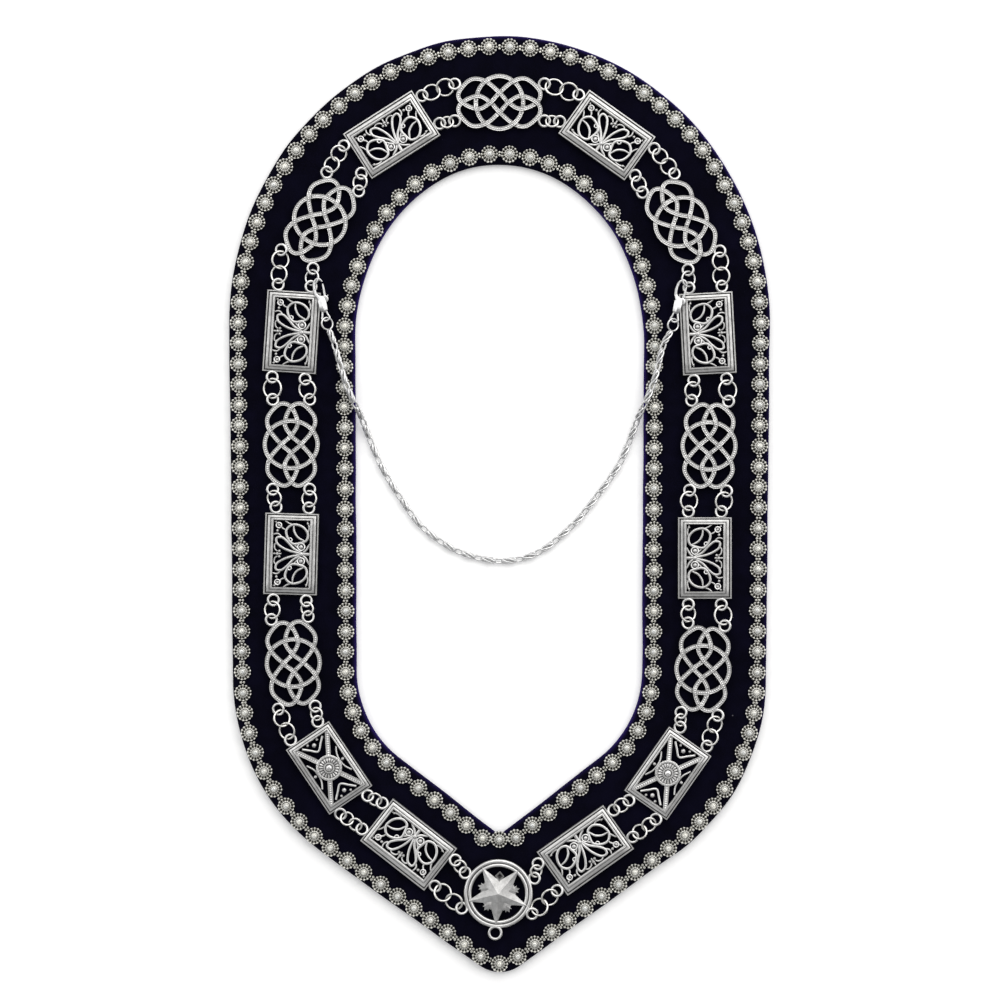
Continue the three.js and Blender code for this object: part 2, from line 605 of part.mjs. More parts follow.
// Each clasp hangs from the inner ring above the upper scroll plate on its side, and bears on it
const claspPlaces = [
  { name: 'left_clasp', above: 'left_upper_scroll', side: -1 },
  { name: 'right_clasp', above: 'right_top_knot', side: 1 },
];
const chainEnds = [];
const heldRings = [];
for (const { name, above, side } of claspPlaces) {
  const row = strandsOfRings.find((r) => r.inner && r.plate.name === above);
  const down = row.to.clone().sub(row.from).normalize().multiplyScalar(side);
  const lean = radians(heldRingLean);
  const rise = Math.asin(claspLift / (row.radius * Math.sin(lean)));
  const crossing = row.from.clone().add(row.to).multiplyScalar(0.5)
    .addScaledVector(down, row.radius * Math.cos(rise))
    .addScaledVector(new THREE.Vector3(-side, 0, 0), row.radius * Math.sin(rise) * Math.cos(lean));
  const frame = new THREE.Matrix4().makeRotationZ(side * radians(-claspLean));
  const hook = new THREE.Vector3(0, clasp.holeY + clasp.holeAlong - hookBelow, 0).applyMatrix4(frame);
  frame.setPosition(crossing.x - hook.x, crossing.y - hook.y, ringHeight + claspLift);
  const bare = toManifold(toGeometry(claspBody()).applyMatrix4(frame));
  const body = bare.add(toManifold(ringsOf(row, heldRingLean)[0]));
  add(name, toGeometry(body), silver);
  add(`${name}_lever`, claspLever().applyMatrix4(frame), silver);
  const way = new THREE.Vector3(0, -1, 0).transformDirection(frame);
  const tail = new THREE.Vector3(0, tailRing.inLoop - tailRing.radius, 0).applyMatrix4(frame);
  chainEnds.push({ way, tail });
  heldRings.push(row);
}

// Jump rings, apart from the two that the clasps bear on
for (const row of strandsOfRings) {
  if (heldRings.includes(row)) {
    continue;
  }
  const rings = ringsOf(row);
  const geometry = row.count === 1 ? rings[0] : toGeometry(join([...rings, fuseRings(row)]));
  const kind = row.inner ? 'inner_ring' : 'outer_ring';
  add(`${kind}_${String(row.number).padStart(2, '0')}`, geometry, silver);
}

// Neck chain with the ring at each end that holds it to its clasp
function neckChain() {
  const ends = chainEnds.map(({ way, tail }) => ({
    ring: ring(tail, way, radians(tailRing.lean), tailRing.radius, tailRing.wire, 5, 10),
    start: tail.clone().addScaledVector(way, tailRing.radius),
  }));
  const middle = chainRoute.map((p) => new THREE.Vector3(p.x, p.y, p.z));
  const path = new THREE.CatmullRomCurve3([ends[0].start, ...middle, ends[1].start], false, 'centripetal');
  const circle = oval(0, 0, chainRadius, chainRadius, chainSides);
  const section = new THREE.Shape(circle.map(([x, y]) => new THREE.Vector2(x, y)));
  const sweep = { steps: chainSteps, extrudePath: path, bevelEnabled: false };
  const tube = new THREE.ExtrudeGeometry(section, sweep);
  return toGeometry(join([tube, ends[0].ring, ends[1].ring]));
}
add('neck_chain', neckChain(), silver);

export default group;
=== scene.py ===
"""Velvet chain collar lying face up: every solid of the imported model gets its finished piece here.

Lengths in the tables are millimetres in the model's own frame, +Y to the back of the neck, +Z up.
"""
import math

import bpy
import numpy as np
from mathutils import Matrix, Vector


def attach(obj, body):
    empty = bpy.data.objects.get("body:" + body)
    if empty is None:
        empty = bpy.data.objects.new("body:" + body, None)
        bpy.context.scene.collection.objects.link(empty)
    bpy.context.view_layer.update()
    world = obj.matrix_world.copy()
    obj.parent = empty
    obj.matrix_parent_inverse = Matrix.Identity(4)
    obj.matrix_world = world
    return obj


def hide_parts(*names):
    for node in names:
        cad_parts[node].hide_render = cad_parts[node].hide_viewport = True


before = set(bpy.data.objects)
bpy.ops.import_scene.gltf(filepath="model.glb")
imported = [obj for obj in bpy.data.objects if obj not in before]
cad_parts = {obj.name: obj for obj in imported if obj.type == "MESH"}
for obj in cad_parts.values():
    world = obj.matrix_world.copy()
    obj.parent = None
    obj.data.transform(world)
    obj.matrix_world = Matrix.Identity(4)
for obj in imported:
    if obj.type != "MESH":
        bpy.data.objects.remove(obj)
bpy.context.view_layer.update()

MM = 0.001
UP = np.array([0.0, 0.0, 1.0])

# Velvet band
VELVET_TOP = 4.6
OUTER = dict(half=146.8, crown=157.1, spring=96.9, half_low=144.6, bend=-94.8, bend_radius=116.4,
             bend_turn=54.3, point=-258.4, tip_radius=19.0)
INNER = dict(half=78.3, crown=96.4, spring=87.7, half_low=77.4, bend=-89.9, bend_radius=60.7,
             bend_turn=52.4, point=-179.8, tip_radius=1.5)
OUTLINE_STEPS = dict(crown=70, side=44, bend=30, slope=30, tip=10)
# Inset and height up an edge of the band; the edge is uneven up to the inset given after it
BAND_EDGE = [(1.8, 0.0), (0.7, 0.25), (0.12, 1.0), (0.0, 1.9), (0.06, 2.9), (0.45, 3.75), (1.2, 4.27),
             (2.5, 4.52), (4.2, VELVET_TOP)]
WAVY_INSET = 2

# Stone trims: how far the flowers' middles lie in from the edge, and the flowers themselves
TRIM_LOW = VELVET_TOP + 0.3
OUTER_TRIM = dict(crown=6.4, side=5.3, slope=5.0, corner=5.0)
INNER_TRIM = dict(crown=5.9, side=5.9, slope=6.4, corner=2.4)
FLOWER_PITCH = 11.1
FLOWER_RADIUS = 4.85
PETALS = 14
UNEVEN_TURN, UNEVEN_PLACE, UNEVEN_LIFT = 7, 0.18, 0.05
BEAD_ASIDE = 0.82

# Plates
PLATE_LOW = VELVET_TOP + 0.3
PLATE_TOP = 7.9
INLAY_LOW = 5.6
SCROLL_PLATE = dict(long=44.2, wide=29.2, window_long=36.0, window_wide=19.6)
BAR_PLATE = dict(long=42.4, wide=28.2, window_long=34.6, window_wide=20.2)
PLATES = [
    ("top_knot", "knot", 0, 217.3, -90),
    ("right_top_scroll", "scroll", 58.14, 199.61, -125.5),
    ("right_top_knot", "knot", 98.3, 152.75, -149.5),
    ("right_upper_scroll", "scroll", 112.69, 92.33, -177),
    ("right_middle_knot", "knot", 113.4, 31.53, 178.7),
    ("right_lower_scroll", "scroll", 111.12, -29.22, 180),
    ("right_lower_knot", "knot", 110.08, -89.38, 175.5),
    ("right_barred_plate", "barred", 91.13, -145.71, 145),
    ("right_bottom_scroll", "scroll", 46.49, -187.42, 125.3),
    ("star_roundel", "roundel", -0.66, -210.89, 85.5),
    ("left_bottom_scroll", "scroll", -49.2, -184.28, 52),
    ("left_barred_plate", "barred", -92.2, -142.75, 34),
    ("left_lower_knot", "knot", -111.59, -85.98, 4.5),
    ("left_lower_scroll", "scroll", -112.77, -27.03, -1.6),
    ("left_middle_knot", "knot", -112.73, 32.25, 0),
    ("left_upper_scroll", "scroll", -112.49, 93.19, -3.7),
    ("left_top_knot", "knot", -97.18, 153.46, -30.5),
    ("left_top_scroll", "scroll", -58.32, 199.91, -57.5),
]

# Plates whose polish is raised by these factors, so that they come out brighter than the rest
BRIGHTER_PLATES = {"right_barred_plate": 1.25, "left_barred_plate": 1.15, "right_bottom_scroll": 1.25,
                   "left_bottom_scroll": 1.3, "left_top_scroll": 1.1, "right_top_scroll": 1.1}

# Cast loops and jump rings
RING_HEIGHT = VELVET_TOP + 2.85
LOOP_RADIUS, LOOP_WIRE, LOOP_LEAN, LOOP_REACH = 2.95, 0.72, 14, 3.0
PLATE_LOOP_ACROSS = 8.9
KNOT_LOOP_ACROSS, KNOT_LOOP_ALONG = 10.0, 24.3
RING_WIRE, RING_LEAN, HELD_RING_LEAN = 0.60, 24, 31
RING_IN_LOOP, RING_LAP, RING_LEAST, LONGEST_SINGLE = 0.8, 1.4, 3.5, 12.4
ROUNDEL_LOOP_OUT, ROUNDEL_INNER_ANGLE, ROUNDEL_OUTER_ANGLE = 21.3, 62.2, 116.0
PENDANT_LOOP = dict(radius=3.3, wire=0.78, out=21.2)

# Clasps: place and turn of each, and the plate whose inner ring after it is held by the hook
CLASPS = {
    "left": dict(x=-94.4805, y=103.3841, turn=13, ring="left_upper_scroll"),
    "right": dict(x=95.1692, y=102.6869, turn=-13, ring="right_top_knot"),
}
CLASP_HEIGHT, CLASP_ROOF = 9.35, 0.46
CLASP_PIN = (2.1, 7.4)
TAIL_RING = dict(radius=3.3, wire=0.5, lean=30, in_loop=-2.7)

# Neck chain: lengths of its open and dense links, how far they lap, and its way from clasp to clasp
OPEN_LINK, DENSE_LINK, LINK_LAP = 5.4, 8.6, 1.45
CHAIN_ROUTE = [
    (-89.4, 86.7, 9.4), (-84.0, 68.0, 9.8), (-79.4, 56.4, 9.3), (-75.2, 48.0, 5.6), (-71.2, 37.4, 2.2),
    (-64.0, 20.5, 2.0), (-53.9, 3.6, 2.0), (-41.5, -12.8, 2.0), (-22.4, -25.6, 2.0), (0.3, -30.9, 2.0),
    (20.7, -26.4, 2.0), (39.8, -11.4, 2.0), (53.3, 4.9, 2.0), (64.7, 21.1, 2.0), (72.0, 38.0, 2.2),
    (75.6, 48.0, 5.6), (79.6, 56.4, 9.3), (84.0, 68.0, 9.8), (88.6, 85.6, 9.4),
]


# Shader building

class Value:
    """A number that varies over a surface. Arithmetic on it adds Math nodes."""

    def __init__(self, maker, socket):
        self.maker, self.socket = maker, socket

    def _math(self, operation, a, b=0.0):
        return self.maker.node("ShaderNodeMath", {"operation": operation}, {0: a, 1: b})

    def __add__(self, other):
        return self._math("ADD", self, other)

    def __sub__(self, other):
        return self._math("SUBTRACT", self, other)

    def __rsub__(self, other):
        return self._math("SUBTRACT", other, self)

    def __mul__(self, other):
        return self._math("MULTIPLY", self, other)

    __radd__, __rmul__ = __add__, __mul__


class Finish:
    """A material or the sky in the making: one shader and the nodes that feed it."""

    def __init__(self, name, sky=False, **constants):
        self.material = (bpy.data.worlds if sky else bpy.data.materials).new(name)
        self.material.use_nodes = True
        self.tree = self.material.node_tree
        self.tree.nodes.clear()
        self.shader = self.tree.nodes.new("ShaderNodeBackground" if sky else "ShaderNodeBsdfPrincipled")
        output = self.tree.nodes.new("ShaderNodeOutputWorld" if sky else "ShaderNodeOutputMaterial")
        self.tree.links.new(self.shader.outputs[0], output.inputs["Surface"])
        self.feed(**constants)

    def node(self, kind, settings=None, inputs=None, output=0):
        node = self.tree.nodes.new(kind)
        for key, value in (settings or {}).items():
            if key == "stops":
                ramp = node.color_ramp
                while len(ramp.elements) < len(value):
                    ramp.elements.new(0.5)
                for element, (position, colour) in zip(ramp.elements, value):
                    element.position, element.color = position, (*colour, 1)
            else:
                setattr(node, key, value)
        for key, value in (inputs or {}).items():
            self._plug(node.inputs[key], value)
        return Value(self, node.outputs[output])

    def _plug(self, socket, value):
        if isinstance(value, Value):
            self.tree.links.new(value.socket, socket)
        else:
            socket.default_value = value

    def feed(self, **sockets):
        for key, value in sockets.items():
            self._plug(self.shader.inputs[key.replace("_", " ")], value)

    def place(self):
        return self.node("ShaderNodeTexCoord", output="Object")

    def noise(self, scale, detail=2.0, rough=0.5):
        return self.node("ShaderNodeTexNoise", {}, {
            "Vector": self.place(), "Scale": scale, "Detail": detail, "Roughness": rough})

    def spread(self, value, low, high, to_low=0.0, to_high=1.0):
        return self.node("ShaderNodeMapRange", {"interpolation_type": "SMOOTHSTEP"}, {
            "Value": value, "From Min": low, "From Max": high, "To Min": to_low, "To Max": to_high})

    def blend(self, amount, a, b, mode="MIX"):
        return self.node("ShaderNodeMix", {"data_type": "RGBA", "blend_type": mode},
                         {0: amount, 6: a, 7: b}, output=2)

    # Per-vertex attribute: the metal's polish, and on the velvet a painted violet sheen along its edges
    def polish(self):
        return self.node("ShaderNodeAttribute", {"attribute_name": "polish"}, output="Fac")

    def bump(self, height, distance, strength):
        self.feed(Normal=self.node("ShaderNodeBump", {}, {
            "Height": height, "Distance": distance, "Strength": strength}))


def rgb(*value):
    return (*value, 1.0)


def velvet_finish():
    f = Finish("navy_velvet", Roughness=0.9, Sheen_Weight=0.08, Sheen_Roughness=0.28,
               Sheen_Tint=rgb(0.16, 0.10, 0.66), Specular_IOR_Level=0.04)
    nap = f.noise(38, 3)
    brushed = f.noise(150, 3)
    pile = f.noise(2600, 2)
    tone = f.spread(nap * 0.6 + brushed * 0.4, 0.3, 0.72)
    cloth = f.blend(tone, rgb(0.0008, 0.0007, 0.0022), rgb(0.0022, 0.0019, 0.0080))
    cloth = f.blend(f.spread(pile, 0.35, 0.75) * 0.5, cloth, rgb(0.0040, 0.0034, 0.0135))
    speck = f.node("ShaderNodeTexVoronoi", {}, {"Vector": f.place(), "Scale": 62.0, "Randomness": 1.0})
    lint = f.spread(speck, 0.012, 0.03, 1.0, 0.0) * f.spread(f.noise(30), 0.58, 0.62)
    # Painted violet sheen along the velvet's edges, read from the vertex attribute and broken up by noise
    rim = f.polish() * f.spread(f.noise(700, 3), 0.3, 0.7, 0.6, 1.0)
    cloth = f.blend(rim, cloth, rgb(0.040, 0.021, 0.20))
    f.feed(Base_Color=f.blend(lint * 0.5, cloth, rgb(0.22, 0.21, 0.24)))
    f.bump(pile * 0.6 + brushed * 0.4, 0.00025, 0.7)
    return f.material


def antique_silver(name, bright, dark, full, smooth, rough, grain):
    """Cast metal: dark oxide up to a polish of 0.1, worn bright from a polish of full."""
    f = Finish(name, Metallic=1.0)
    cloud = f.noise(420, 4, 0.6)
    fine = f.noise(2400, 3, 0.6)
    worn = f.spread(f.polish() + (cloud - 0.5) * 0.35 + (fine - 0.5) * 0.25, 0.1, full)
    tint = f.blend(f.spread(f.noise(95, 2), 0.35, 0.7), rgb(*bright), rgb(*[c * 0.9 for c in bright]))
    f.feed(Base_Color=f.blend(worn, rgb(*dark), tint),
           Roughness=rough + (smooth - rough) * worn + (fine - 0.5) * 0.1)
    f.bump(cloud * 0.5 + fine * 0.5, 0.00012, grain)
    return f.material


def bright_silver(name, colour, rough):
    f = Finish(name, Metallic=1.0)
    cloud = f.noise(300, 3)
    fine = f.noise(2200, 3, 0.65)
    dull = f.spread(cloud, 0.4, 0.75)
    f.feed(Base_Color=f.blend(dull * 0.55, rgb(*colour), rgb(*[c * 0.72 for c in colour])),
           Roughness=rough + dull * 0.12 + (fine - 0.5) * 0.08)
    f.bump(fine, 0.00008, 0.2)
    return f.material


def crystal_finish():
    f = Finish("foiled_crystal", Metallic=0.6, IOR=1.6, Coat_Weight=1.0, Coat_Roughness=0.02)
    tone = f.spread(f.noise(160, 1), 0.35, 0.65)
    f.feed(Base_Color=f.blend(tone, rgb(0.98, 0.97, 0.89), rgb(0.80, 0.81, 0.79)),
           Roughness=0.06 + tone * 0.08)
    return f.material


# Mesh building

class Shape:
    """Closed shells gathered into one mesh, in millimetres, with a value at each vertex: the metal's polish,
    and on the velvet its painted sheen.
    """

    def __init__(self):
        self.points, self.quads, self.tris, self.polish, self.count = [], [], [], [], 0

    def add(self, points, quads=(), tris=(), polish=1.0):
        points = np.asarray(points, float).reshape(-1, 3)
        quads = np.asarray(quads, int).reshape(-1, 4)
        tris = np.asarray(tris, int).reshape(-1, 3)
        halves = np.vstack([quads[:, [0, 1, 2]], quads[:, [0, 2, 3]], tris])
        a, b, c = (points[halves[:, k]] for k in range(3))
        if np.einsum("ij,ij->i", a, np.cross(b, c)).sum() < 0:
            quads, tris = quads[:, ::-1], tris[:, ::-1]
        self._gather(points, quads, tris, np.broadcast_to(polish, len(points)).astype(float))

    def take(self, other, turn=0.0, move=(0, 0, 0)):
        """Another shape's shells, turned about +Z by degrees and moved."""
        x, y, z = np.vstack(other.points).T
        self._gather(np.column_stack([*turned((x, y), turn), z]) + move, np.vstack(other.quads),
                     np.vstack(other.tris), np.concatenate(other.polish))

    def _gather(self, points, quads, tris, polish):
        self.points.append(points)
        self.quads.append(quads + self.count)
        self.tris.append(tris + self.count)
        self.polish.append(polish)
        self.count += len(points)

    def piece(self, name, material, slot, nodes, body="collar", crease=50):
        mesh = bpy.data.meshes.new(name)
        faces = np.vstack(self.quads).tolist() + np.vstack(self.tris).tolist()
        mesh.from_pydata(np.vstack(self.points) * MM, [], faces, shade_flat=False)
        mesh.attributes.new("polish", "FLOAT", "POINT").data.foreach_set("value", np.concatenate(self.polish))
        mesh.set_sharp_from_angle(angle=math.radians(crease))
        mesh.materials.append(material)
        thing = bpy.data.objects.new(name, mesh)
        bpy.context.scene.collection.objects.link(thing)
        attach(thing, body)
        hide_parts(*nodes)
        return thing


def unit(v):
    v = np.asarray(v, float)
    return v / np.linalg.norm(v, axis=-1, keepdims=True)


def turned(point, degrees):
    c, s = math.cos(math.radians(degrees)), math.sin(math.radians(degrees))
    return np.array([point[0] * c - point[1] * s, point[0] * s + point[1] * c])


def blunt(values, power):
    return np.sign(values) * np.abs(values) ** power


def round_angles(count):
    return np.arange(count) * 2 * math.pi / count


def arc(centre, across, along, angles):
    """Points of an oval about a middle, at angles from +X."""
    return np.asarray(centre) + np.column_stack([across * np.cos(angles), along * np.sin(angles)])


def fan(tip, ring, flip=False):
    """Triangles from the point numbered tip to each side of a closed ring of point numbers."""
    sides = (np.roll(ring, -1), ring) if flip else (ring, np.roll(ring, -1))
    return np.stack([np.full(len(ring), tip), *sides], -1)


def grid_faces(rows, sides, closed):
    i = np.arange(rows if closed else rows - 1)[:, None]
    j = np.arange(sides)[None, :]
    a, b = i * sides + j, i * sides + (j + 1) % sides
    c, d = ((i + 1) % rows) * sides + (j + 1) % sides, ((i + 1) % rows) * sides + j
    return np.stack([a, b, c, d], -1).reshape(-1, 4)


def add_sections(shape, sections, closed, polish=1.0):
    """Sections (rows, sides, 3) joined in order, round to the first again or capped with fans."""
    rows, sides, _ = sections.shape
    points = sections.reshape(-1, 3)
    polish = np.broadcast_to(polish, (rows, sides)).ravel()
    quads = grid_faces(rows, sides, closed)
    if closed:
        return shape.add(points, quads, (), polish)
    middles = np.array([sections[0].mean(0), sections[-1].mean(0)])
    ends = [polish[:sides].mean(), polish[-sides:].mean()]
    tris = np.vstack([fan(rows * sides, np.arange(sides), True),
                      fan(rows * sides + 1, (rows - 1) * sides + np.arange(sides))])
    return shape.add(np.vstack([points, middles]), quads, tris, np.concatenate([polish, ends]))


def add_round(shape, rings, top, low, polish=1.0):
    """Rings (rows, sides, 3) joined in order, closed by fans to a top and a low point."""
    rows, sides, _ = rings.shape
    count = rows * sides
    tris = np.vstack([fan(count, np.arange(sides)), fan(count + 1, count - sides + np.arange(sides), True)])
    shape.add(np.vstack([rings.reshape(-1, 3), [top], [low]]), grid_faces(rows, sides, False), tris, polish)


def sweep(shape, path, section, closed=False, polish=1.0):
    """A section of (across, up) pairs, one for all or one for each point, led along a path."""
    path = np.asarray(path, float)
    if closed:
        ahead = np.roll(path, -1, 0) - np.roll(path, 1, 0)
    else:
        ahead = np.gradient(path, axis=0)
    ahead = unit(ahead)
    across = unit(np.cross(ahead, UP))
    rise = np.cross(across, ahead)
    section = np.broadcast_to(section, (len(path), *np.shape(section)[-2:]))
    rows = path[:, None] + section[..., :1] * across[:, None] + section[..., 1:] * rise[:, None]
    add_sections(shape, rows, closed, polish)


def run_along(line):
    """How far along a line each of its points is."""
    return np.concatenate([[0], np.cumsum(np.linalg.norm(np.diff(line, axis=0), axis=1))])


def curve(points, closed=False, step=0.3):
    """A smooth line through points, in even steps."""
    p = np.asarray(points, float)
    if p.shape[1] == 2:
        p = np.column_stack([p, np.zeros(len(p))])
    if closed:
        q = np.vstack([p[-1], p, p[:2]])
    else:
        q = np.vstack([2 * p[0] - p[1], p, 2 * p[-1] - p[-2]])
    t = np.linspace(0, 1, 24, endpoint=False)[:, None]
    parts = []
    for a, b, c, d in zip(q, q[1:], q[2:], q[3:]):
        parts.append(0.5 * (2 * b + (c - a) * t + (2 * a - 5 * b + 4 * c - d) * t**2
                            + (3 * b - a - 3 * c + d) * t**3))
    line = np.vstack(parts + [q[-2][None]])
    run = run_along(line)
    count = max(4, round(run[-1] / step))
    marks = np.linspace(0, run[-1], count, endpoint=not closed)
    return np.column_stack([np.interp(marks, run, line[:, k]) for k in range(3)])


def ball(shape, centre, radius, high, sides=12, rows=7, polish=1.0):
    """A round bead, radius wide and high from its middle to its top."""
    a = round_angles(sides)
    b = np.linspace(0, math.pi, rows + 1)[1:-1, None]
    x, y, z = centre
    rings = np.stack([x + radius * np.sin(b) * np.cos(a), y + radius * np.sin(b) * np.sin(a),
                      z + high * np.cos(b) * np.ones(sides)], -1)
    add_round(shape, rings, (x, y, z + high), (x, y, z - high), polish)


def wire_ring(shape, centre, along, lean, radius, wire, steps=36, sides=10, cut=0.0, polish=0.9):
    """A round ring whose plane holds the direction along and leans about it, with an optional cut."""
    along = unit((*along[:2], 0.0))
    lean = math.radians(lean)
    across = np.array([along[1], -along[0], 0.0]) * math.cos(lean) + UP * math.sin(lean)
    axis = np.cross(along, across)
    start = math.radians(cut)
    gap = math.radians(1.6) if cut else 0
    a = np.linspace(start, 2 * math.pi + start - gap, steps, endpoint=bool(cut))
    out = np.cos(a)[:, None] * along + np.sin(a)[:, None] * across
    b = round_angles(sides)
    rows = (np.asarray(centre, float) + out[:, None] * (radius + wire * np.cos(b))[None, :, None]
            + axis * (wire * np.sin(b))[None, :, None])
    add_sections(shape, rows, not cut, polish)


def lathe(shape, profile, sides, polish=1.0, centre=(0, 0)):
    """A closed profile of (radius, height) pairs turned about an upright axis."""
    r, z = np.array(profile, float).T
    a = round_angles(sides)
    rows = np.stack([centre[0] + r * np.cos(a)[:, None], centre[1] + r * np.sin(a)[:, None],
                     z * np.ones((sides, 1))], -1)
    add_sections(shape, rows, True, polish)


def dome(shape, profile, sides, centre):
    """A profile from the middle of the top down to the middle of the underside, turned about its axis."""
    (_, top), *rows, (_, low) = profile
    rings = np.array([[(centre[0] + r * math.cos(t), centre[1] + r * math.sin(t), z)
                       for t in round_angles(sides)] for r, z in rows])
    add_round(shape, rings, (*centre, top), (*centre, low))


# Velvet band

def half_outline(o):
    """The right half, downwards: crown, side, bend, slope and rounded tip."""
    crown, side, bend, slope, tip = (np.arange(steps) / steps for steps in OUTLINE_STEPS.values())
    wide, low = np.array([o["half"], o["spring"]]), np.array([o["half_low"], o["bend"]])
    radius, tip_radius = o["bend_radius"], o["tip_radius"]
    bent = arc(low - (radius, 0), radius, radius, -math.radians(o["bend_turn"]) * np.append(bend, 1))
    end, point = bent[-1], np.array([0, o["point"]])
    lean = math.atan2(*(end - point))
    start = point + unit(end - point) * tip_radius / math.tan(lean)
    middle = point + (0, tip_radius / math.sin(lean))
    return np.vstack([
        arc((0, o["spring"]), o["half"], o["crown"], math.pi / 2 * (1 - crown)),
        wide + (low - wide) * side[:, None],
        bent[:-1],
        end + (start - end) * slope[:, None],
        arc(middle, tip_radius, tip_radius, -lean - (math.pi / 2 - lean) * np.append(tip, 1)),
    ])


def outline(o):
    right = half_outline(o)
    return np.vstack([right, right[-2:0:-1] * (-1, 1)])


def inward(points):
    """Unit normals of a clockwise outline, to its right, which is its inner side."""
    ahead = unit(np.roll(points, -1, 0) - np.roll(points, 1, 0))
    return np.column_stack([ahead[:, 1], -ahead[:, 0]])


def ripple(points, seed, size, reach):
    """Smooth unevenness of a hand-made edge at each point of a line in the plane."""
    draw = np.random.default_rng(seed)
    waves, spread = 7, 2.6  # so many waves together spread by about their root
    total = np.zeros(len(points))
    for _ in range(waves):
        way = draw.uniform(0, 2 * math.pi)
        length = reach * draw.uniform(0.6, 1.6)
        along = points[:, 0] * math.cos(way) + points[:, 1] * math.sin(way)
        total += np.cos(along * 2 * math.pi / length + draw.uniform(0, 2 * math.pi))
    return total * size / spread


def edge_rows(line, side, painted_sheen, wave):
    """Lines up one edge of the band and over its shoulder, and how much painted sheen each carries."""
    rows, painted_sheen_rows = [], []
    for inset, z in BAND_EDGE:
        shift = inset + wave if inset < WAVY_INSET else np.full(len(line), inset)
        rows.append(np.column_stack([line + side * shift[:, None], np.full(len(line), z)]))
        # The painted sheen fades from the very edge inwards
        painted_sheen_rows.append(painted_sheen * np.clip(1.1 - inset / 1.4, 0, 1))
    return rows, painted_sheen_rows


def velvet_band(material):
    """A painted violet sheen lies on its outer edge where it faces back and right, and on its inner edge at
    both sides.
    """
    outer, inner = outline(OUTER), outline(INNER)
    side_out, side_in = inward(outer), -inward(inner)
    # Painted sheen, set by which way each edge faces: back and right on the outer edge, either side on the
    # inner edge
    painted_sheen_out = 0.6 * np.clip(-side_out @ unit((0.6, 0.8)) * 1.6 - 0.5, 0, 1)
    painted_sheen_in = 0.6 * np.clip((np.abs(side_in[:, 0]) - 0.5) / 0.3, 0, 1)
    rows, painted_sheen_rows = edge_rows(outer, side_out, painted_sheen_out, ripple(outer, 3, 0.16, 46))
    rows_in, painted_sheen_rows_in = edge_rows(inner, side_in, painted_sheen_in, ripple(inner, 4, 0.14, 40))
    low_out, low_in = rows[0], rows_in[0]
    flat_out, flat_in = rows[-1][:, :2], rows_in[-1][:, :2]
    top = []
    for t in np.linspace(0, 1, 16)[1:-1]:
        line = flat_out + (flat_in - flat_out) * t
        top.append(np.column_stack([line, VELVET_TOP + ripple(line, 5, 0.09, 30)]))
    under = [low_in + (low_out - low_in) * t for t in (0.33, 0.67)]
    # The top and the underside carry no painted sheen
    no_painted_sheen = [np.zeros(len(outer))]
    band = Shape()
    add_sections(band, np.stack(rows + top + rows_in[::-1] + under, 1), True,
                 np.stack(painted_sheen_rows + no_painted_sheen * len(top) + painted_sheen_rows_in[::-1] + no_painted_sheen * len(under), 1))
    thing = band.piece("velvet_band", material, "velvet", ["velvet_collar"])


# Stone trims

def trim_line(o, trim, sign):
    """Middle line of a trim: its edge moved in by amounts that change from crown to corner."""
    points = outline(o)
    ends = np.cumsum([0, *OUTLINE_STEPS.values()])
    values = [trim[part] for part in ("crown", "side", "side", "slope", "slope", "corner")]
    index = np.arange(len(points))
    index = np.minimum(index, len(points) - index)
    amount = np.interp(index, ends, values)
    return points + inward(points) * (sign * amount)[:, None]


def even_places(line):
    """Places a flower's pitch apart round a closed line, and the place after each."""
    loop = np.vstack([line, line[:1]])
    run = run_along(loop)
    count = round(run[-1] / FLOWER_PITCH)
    marks = np.mod((np.arange(count + 1) + 0.5) * run[-1] / count, run[-1])
    places = np.column_stack([np.interp(marks, run, loop[:, k]) for k in range(2)])
    return places[:-1], places[1:]


def ribbed_disc(ribs, rows, top, low):
    """A round disc with ribs; rows are radius on a rib and between, height and polish likewise.

    A row of three numbers has no ribs.
    """
    a = round_angles(4 * ribs)
    rib = 0.5 + 0.5 * np.cos(ribs * a)
    rings, polish = [], []
    for row in rows:
        r_rib, r_between, z_rib, z_between, p_rib, p_between = np.repeat(row, 2) if len(row) == 3 else row
        r = r_between + (r_rib - r_between) * rib
        z = z_between + (z_rib - z_between) * rib
        rings.append(np.column_stack([r * np.cos(a), r * np.sin(a), z]))
        polish.append(p_between + (p_rib - p_between) * rib)
    disc = Shape()
    add_round(disc, np.array(rings), (0, 0, top), (0, 0, low), np.concatenate(polish + [[0.4, 0.2]]))
    return disc


def flower_metal():
    """One setting of the trim: a cup, a smooth collar, a ring of dark holes and a beaded rim."""
    return ribbed_disc(PETALS, [
        (1.38, 1.55, 0.2), (1.46, 1.46, 2.12, 2.12, 0.9, 0.85),
        (1.68, 1.68, 2.16, 2.12, 0.7, 0.5), (1.92, 1.92, 1.72, 1.62, 0.25, 0.15),
        (2.22, 2.20, 1.90, 1.80, 0.62, 0.42), (2.68, 2.66, 1.84, 1.66, 0.7, 0.42),
        (2.92, 2.88, 1.64, 0.70, 0.85, 0.0), (3.33, 3.30, 1.40, 0.15, 0.8, 0.0),
        (3.74, 3.84, 1.30, 0.20, 0.85, 0.0), (3.96, 4.00, 1.40, 0.62, 0.95, 0.25),
        (4.28, 4.16, 1.50, 0.85, 1.0, 0.4), (4.58, 4.32, 1.22, 0.62, 0.9, 0.2),
        (4.82, 4.40, 0.62, 0.40, 0.6, 0.1), (4.85, 4.42, 0.05, 0.05, 0.3, 0.1),
    ], 1.2, 0.05)


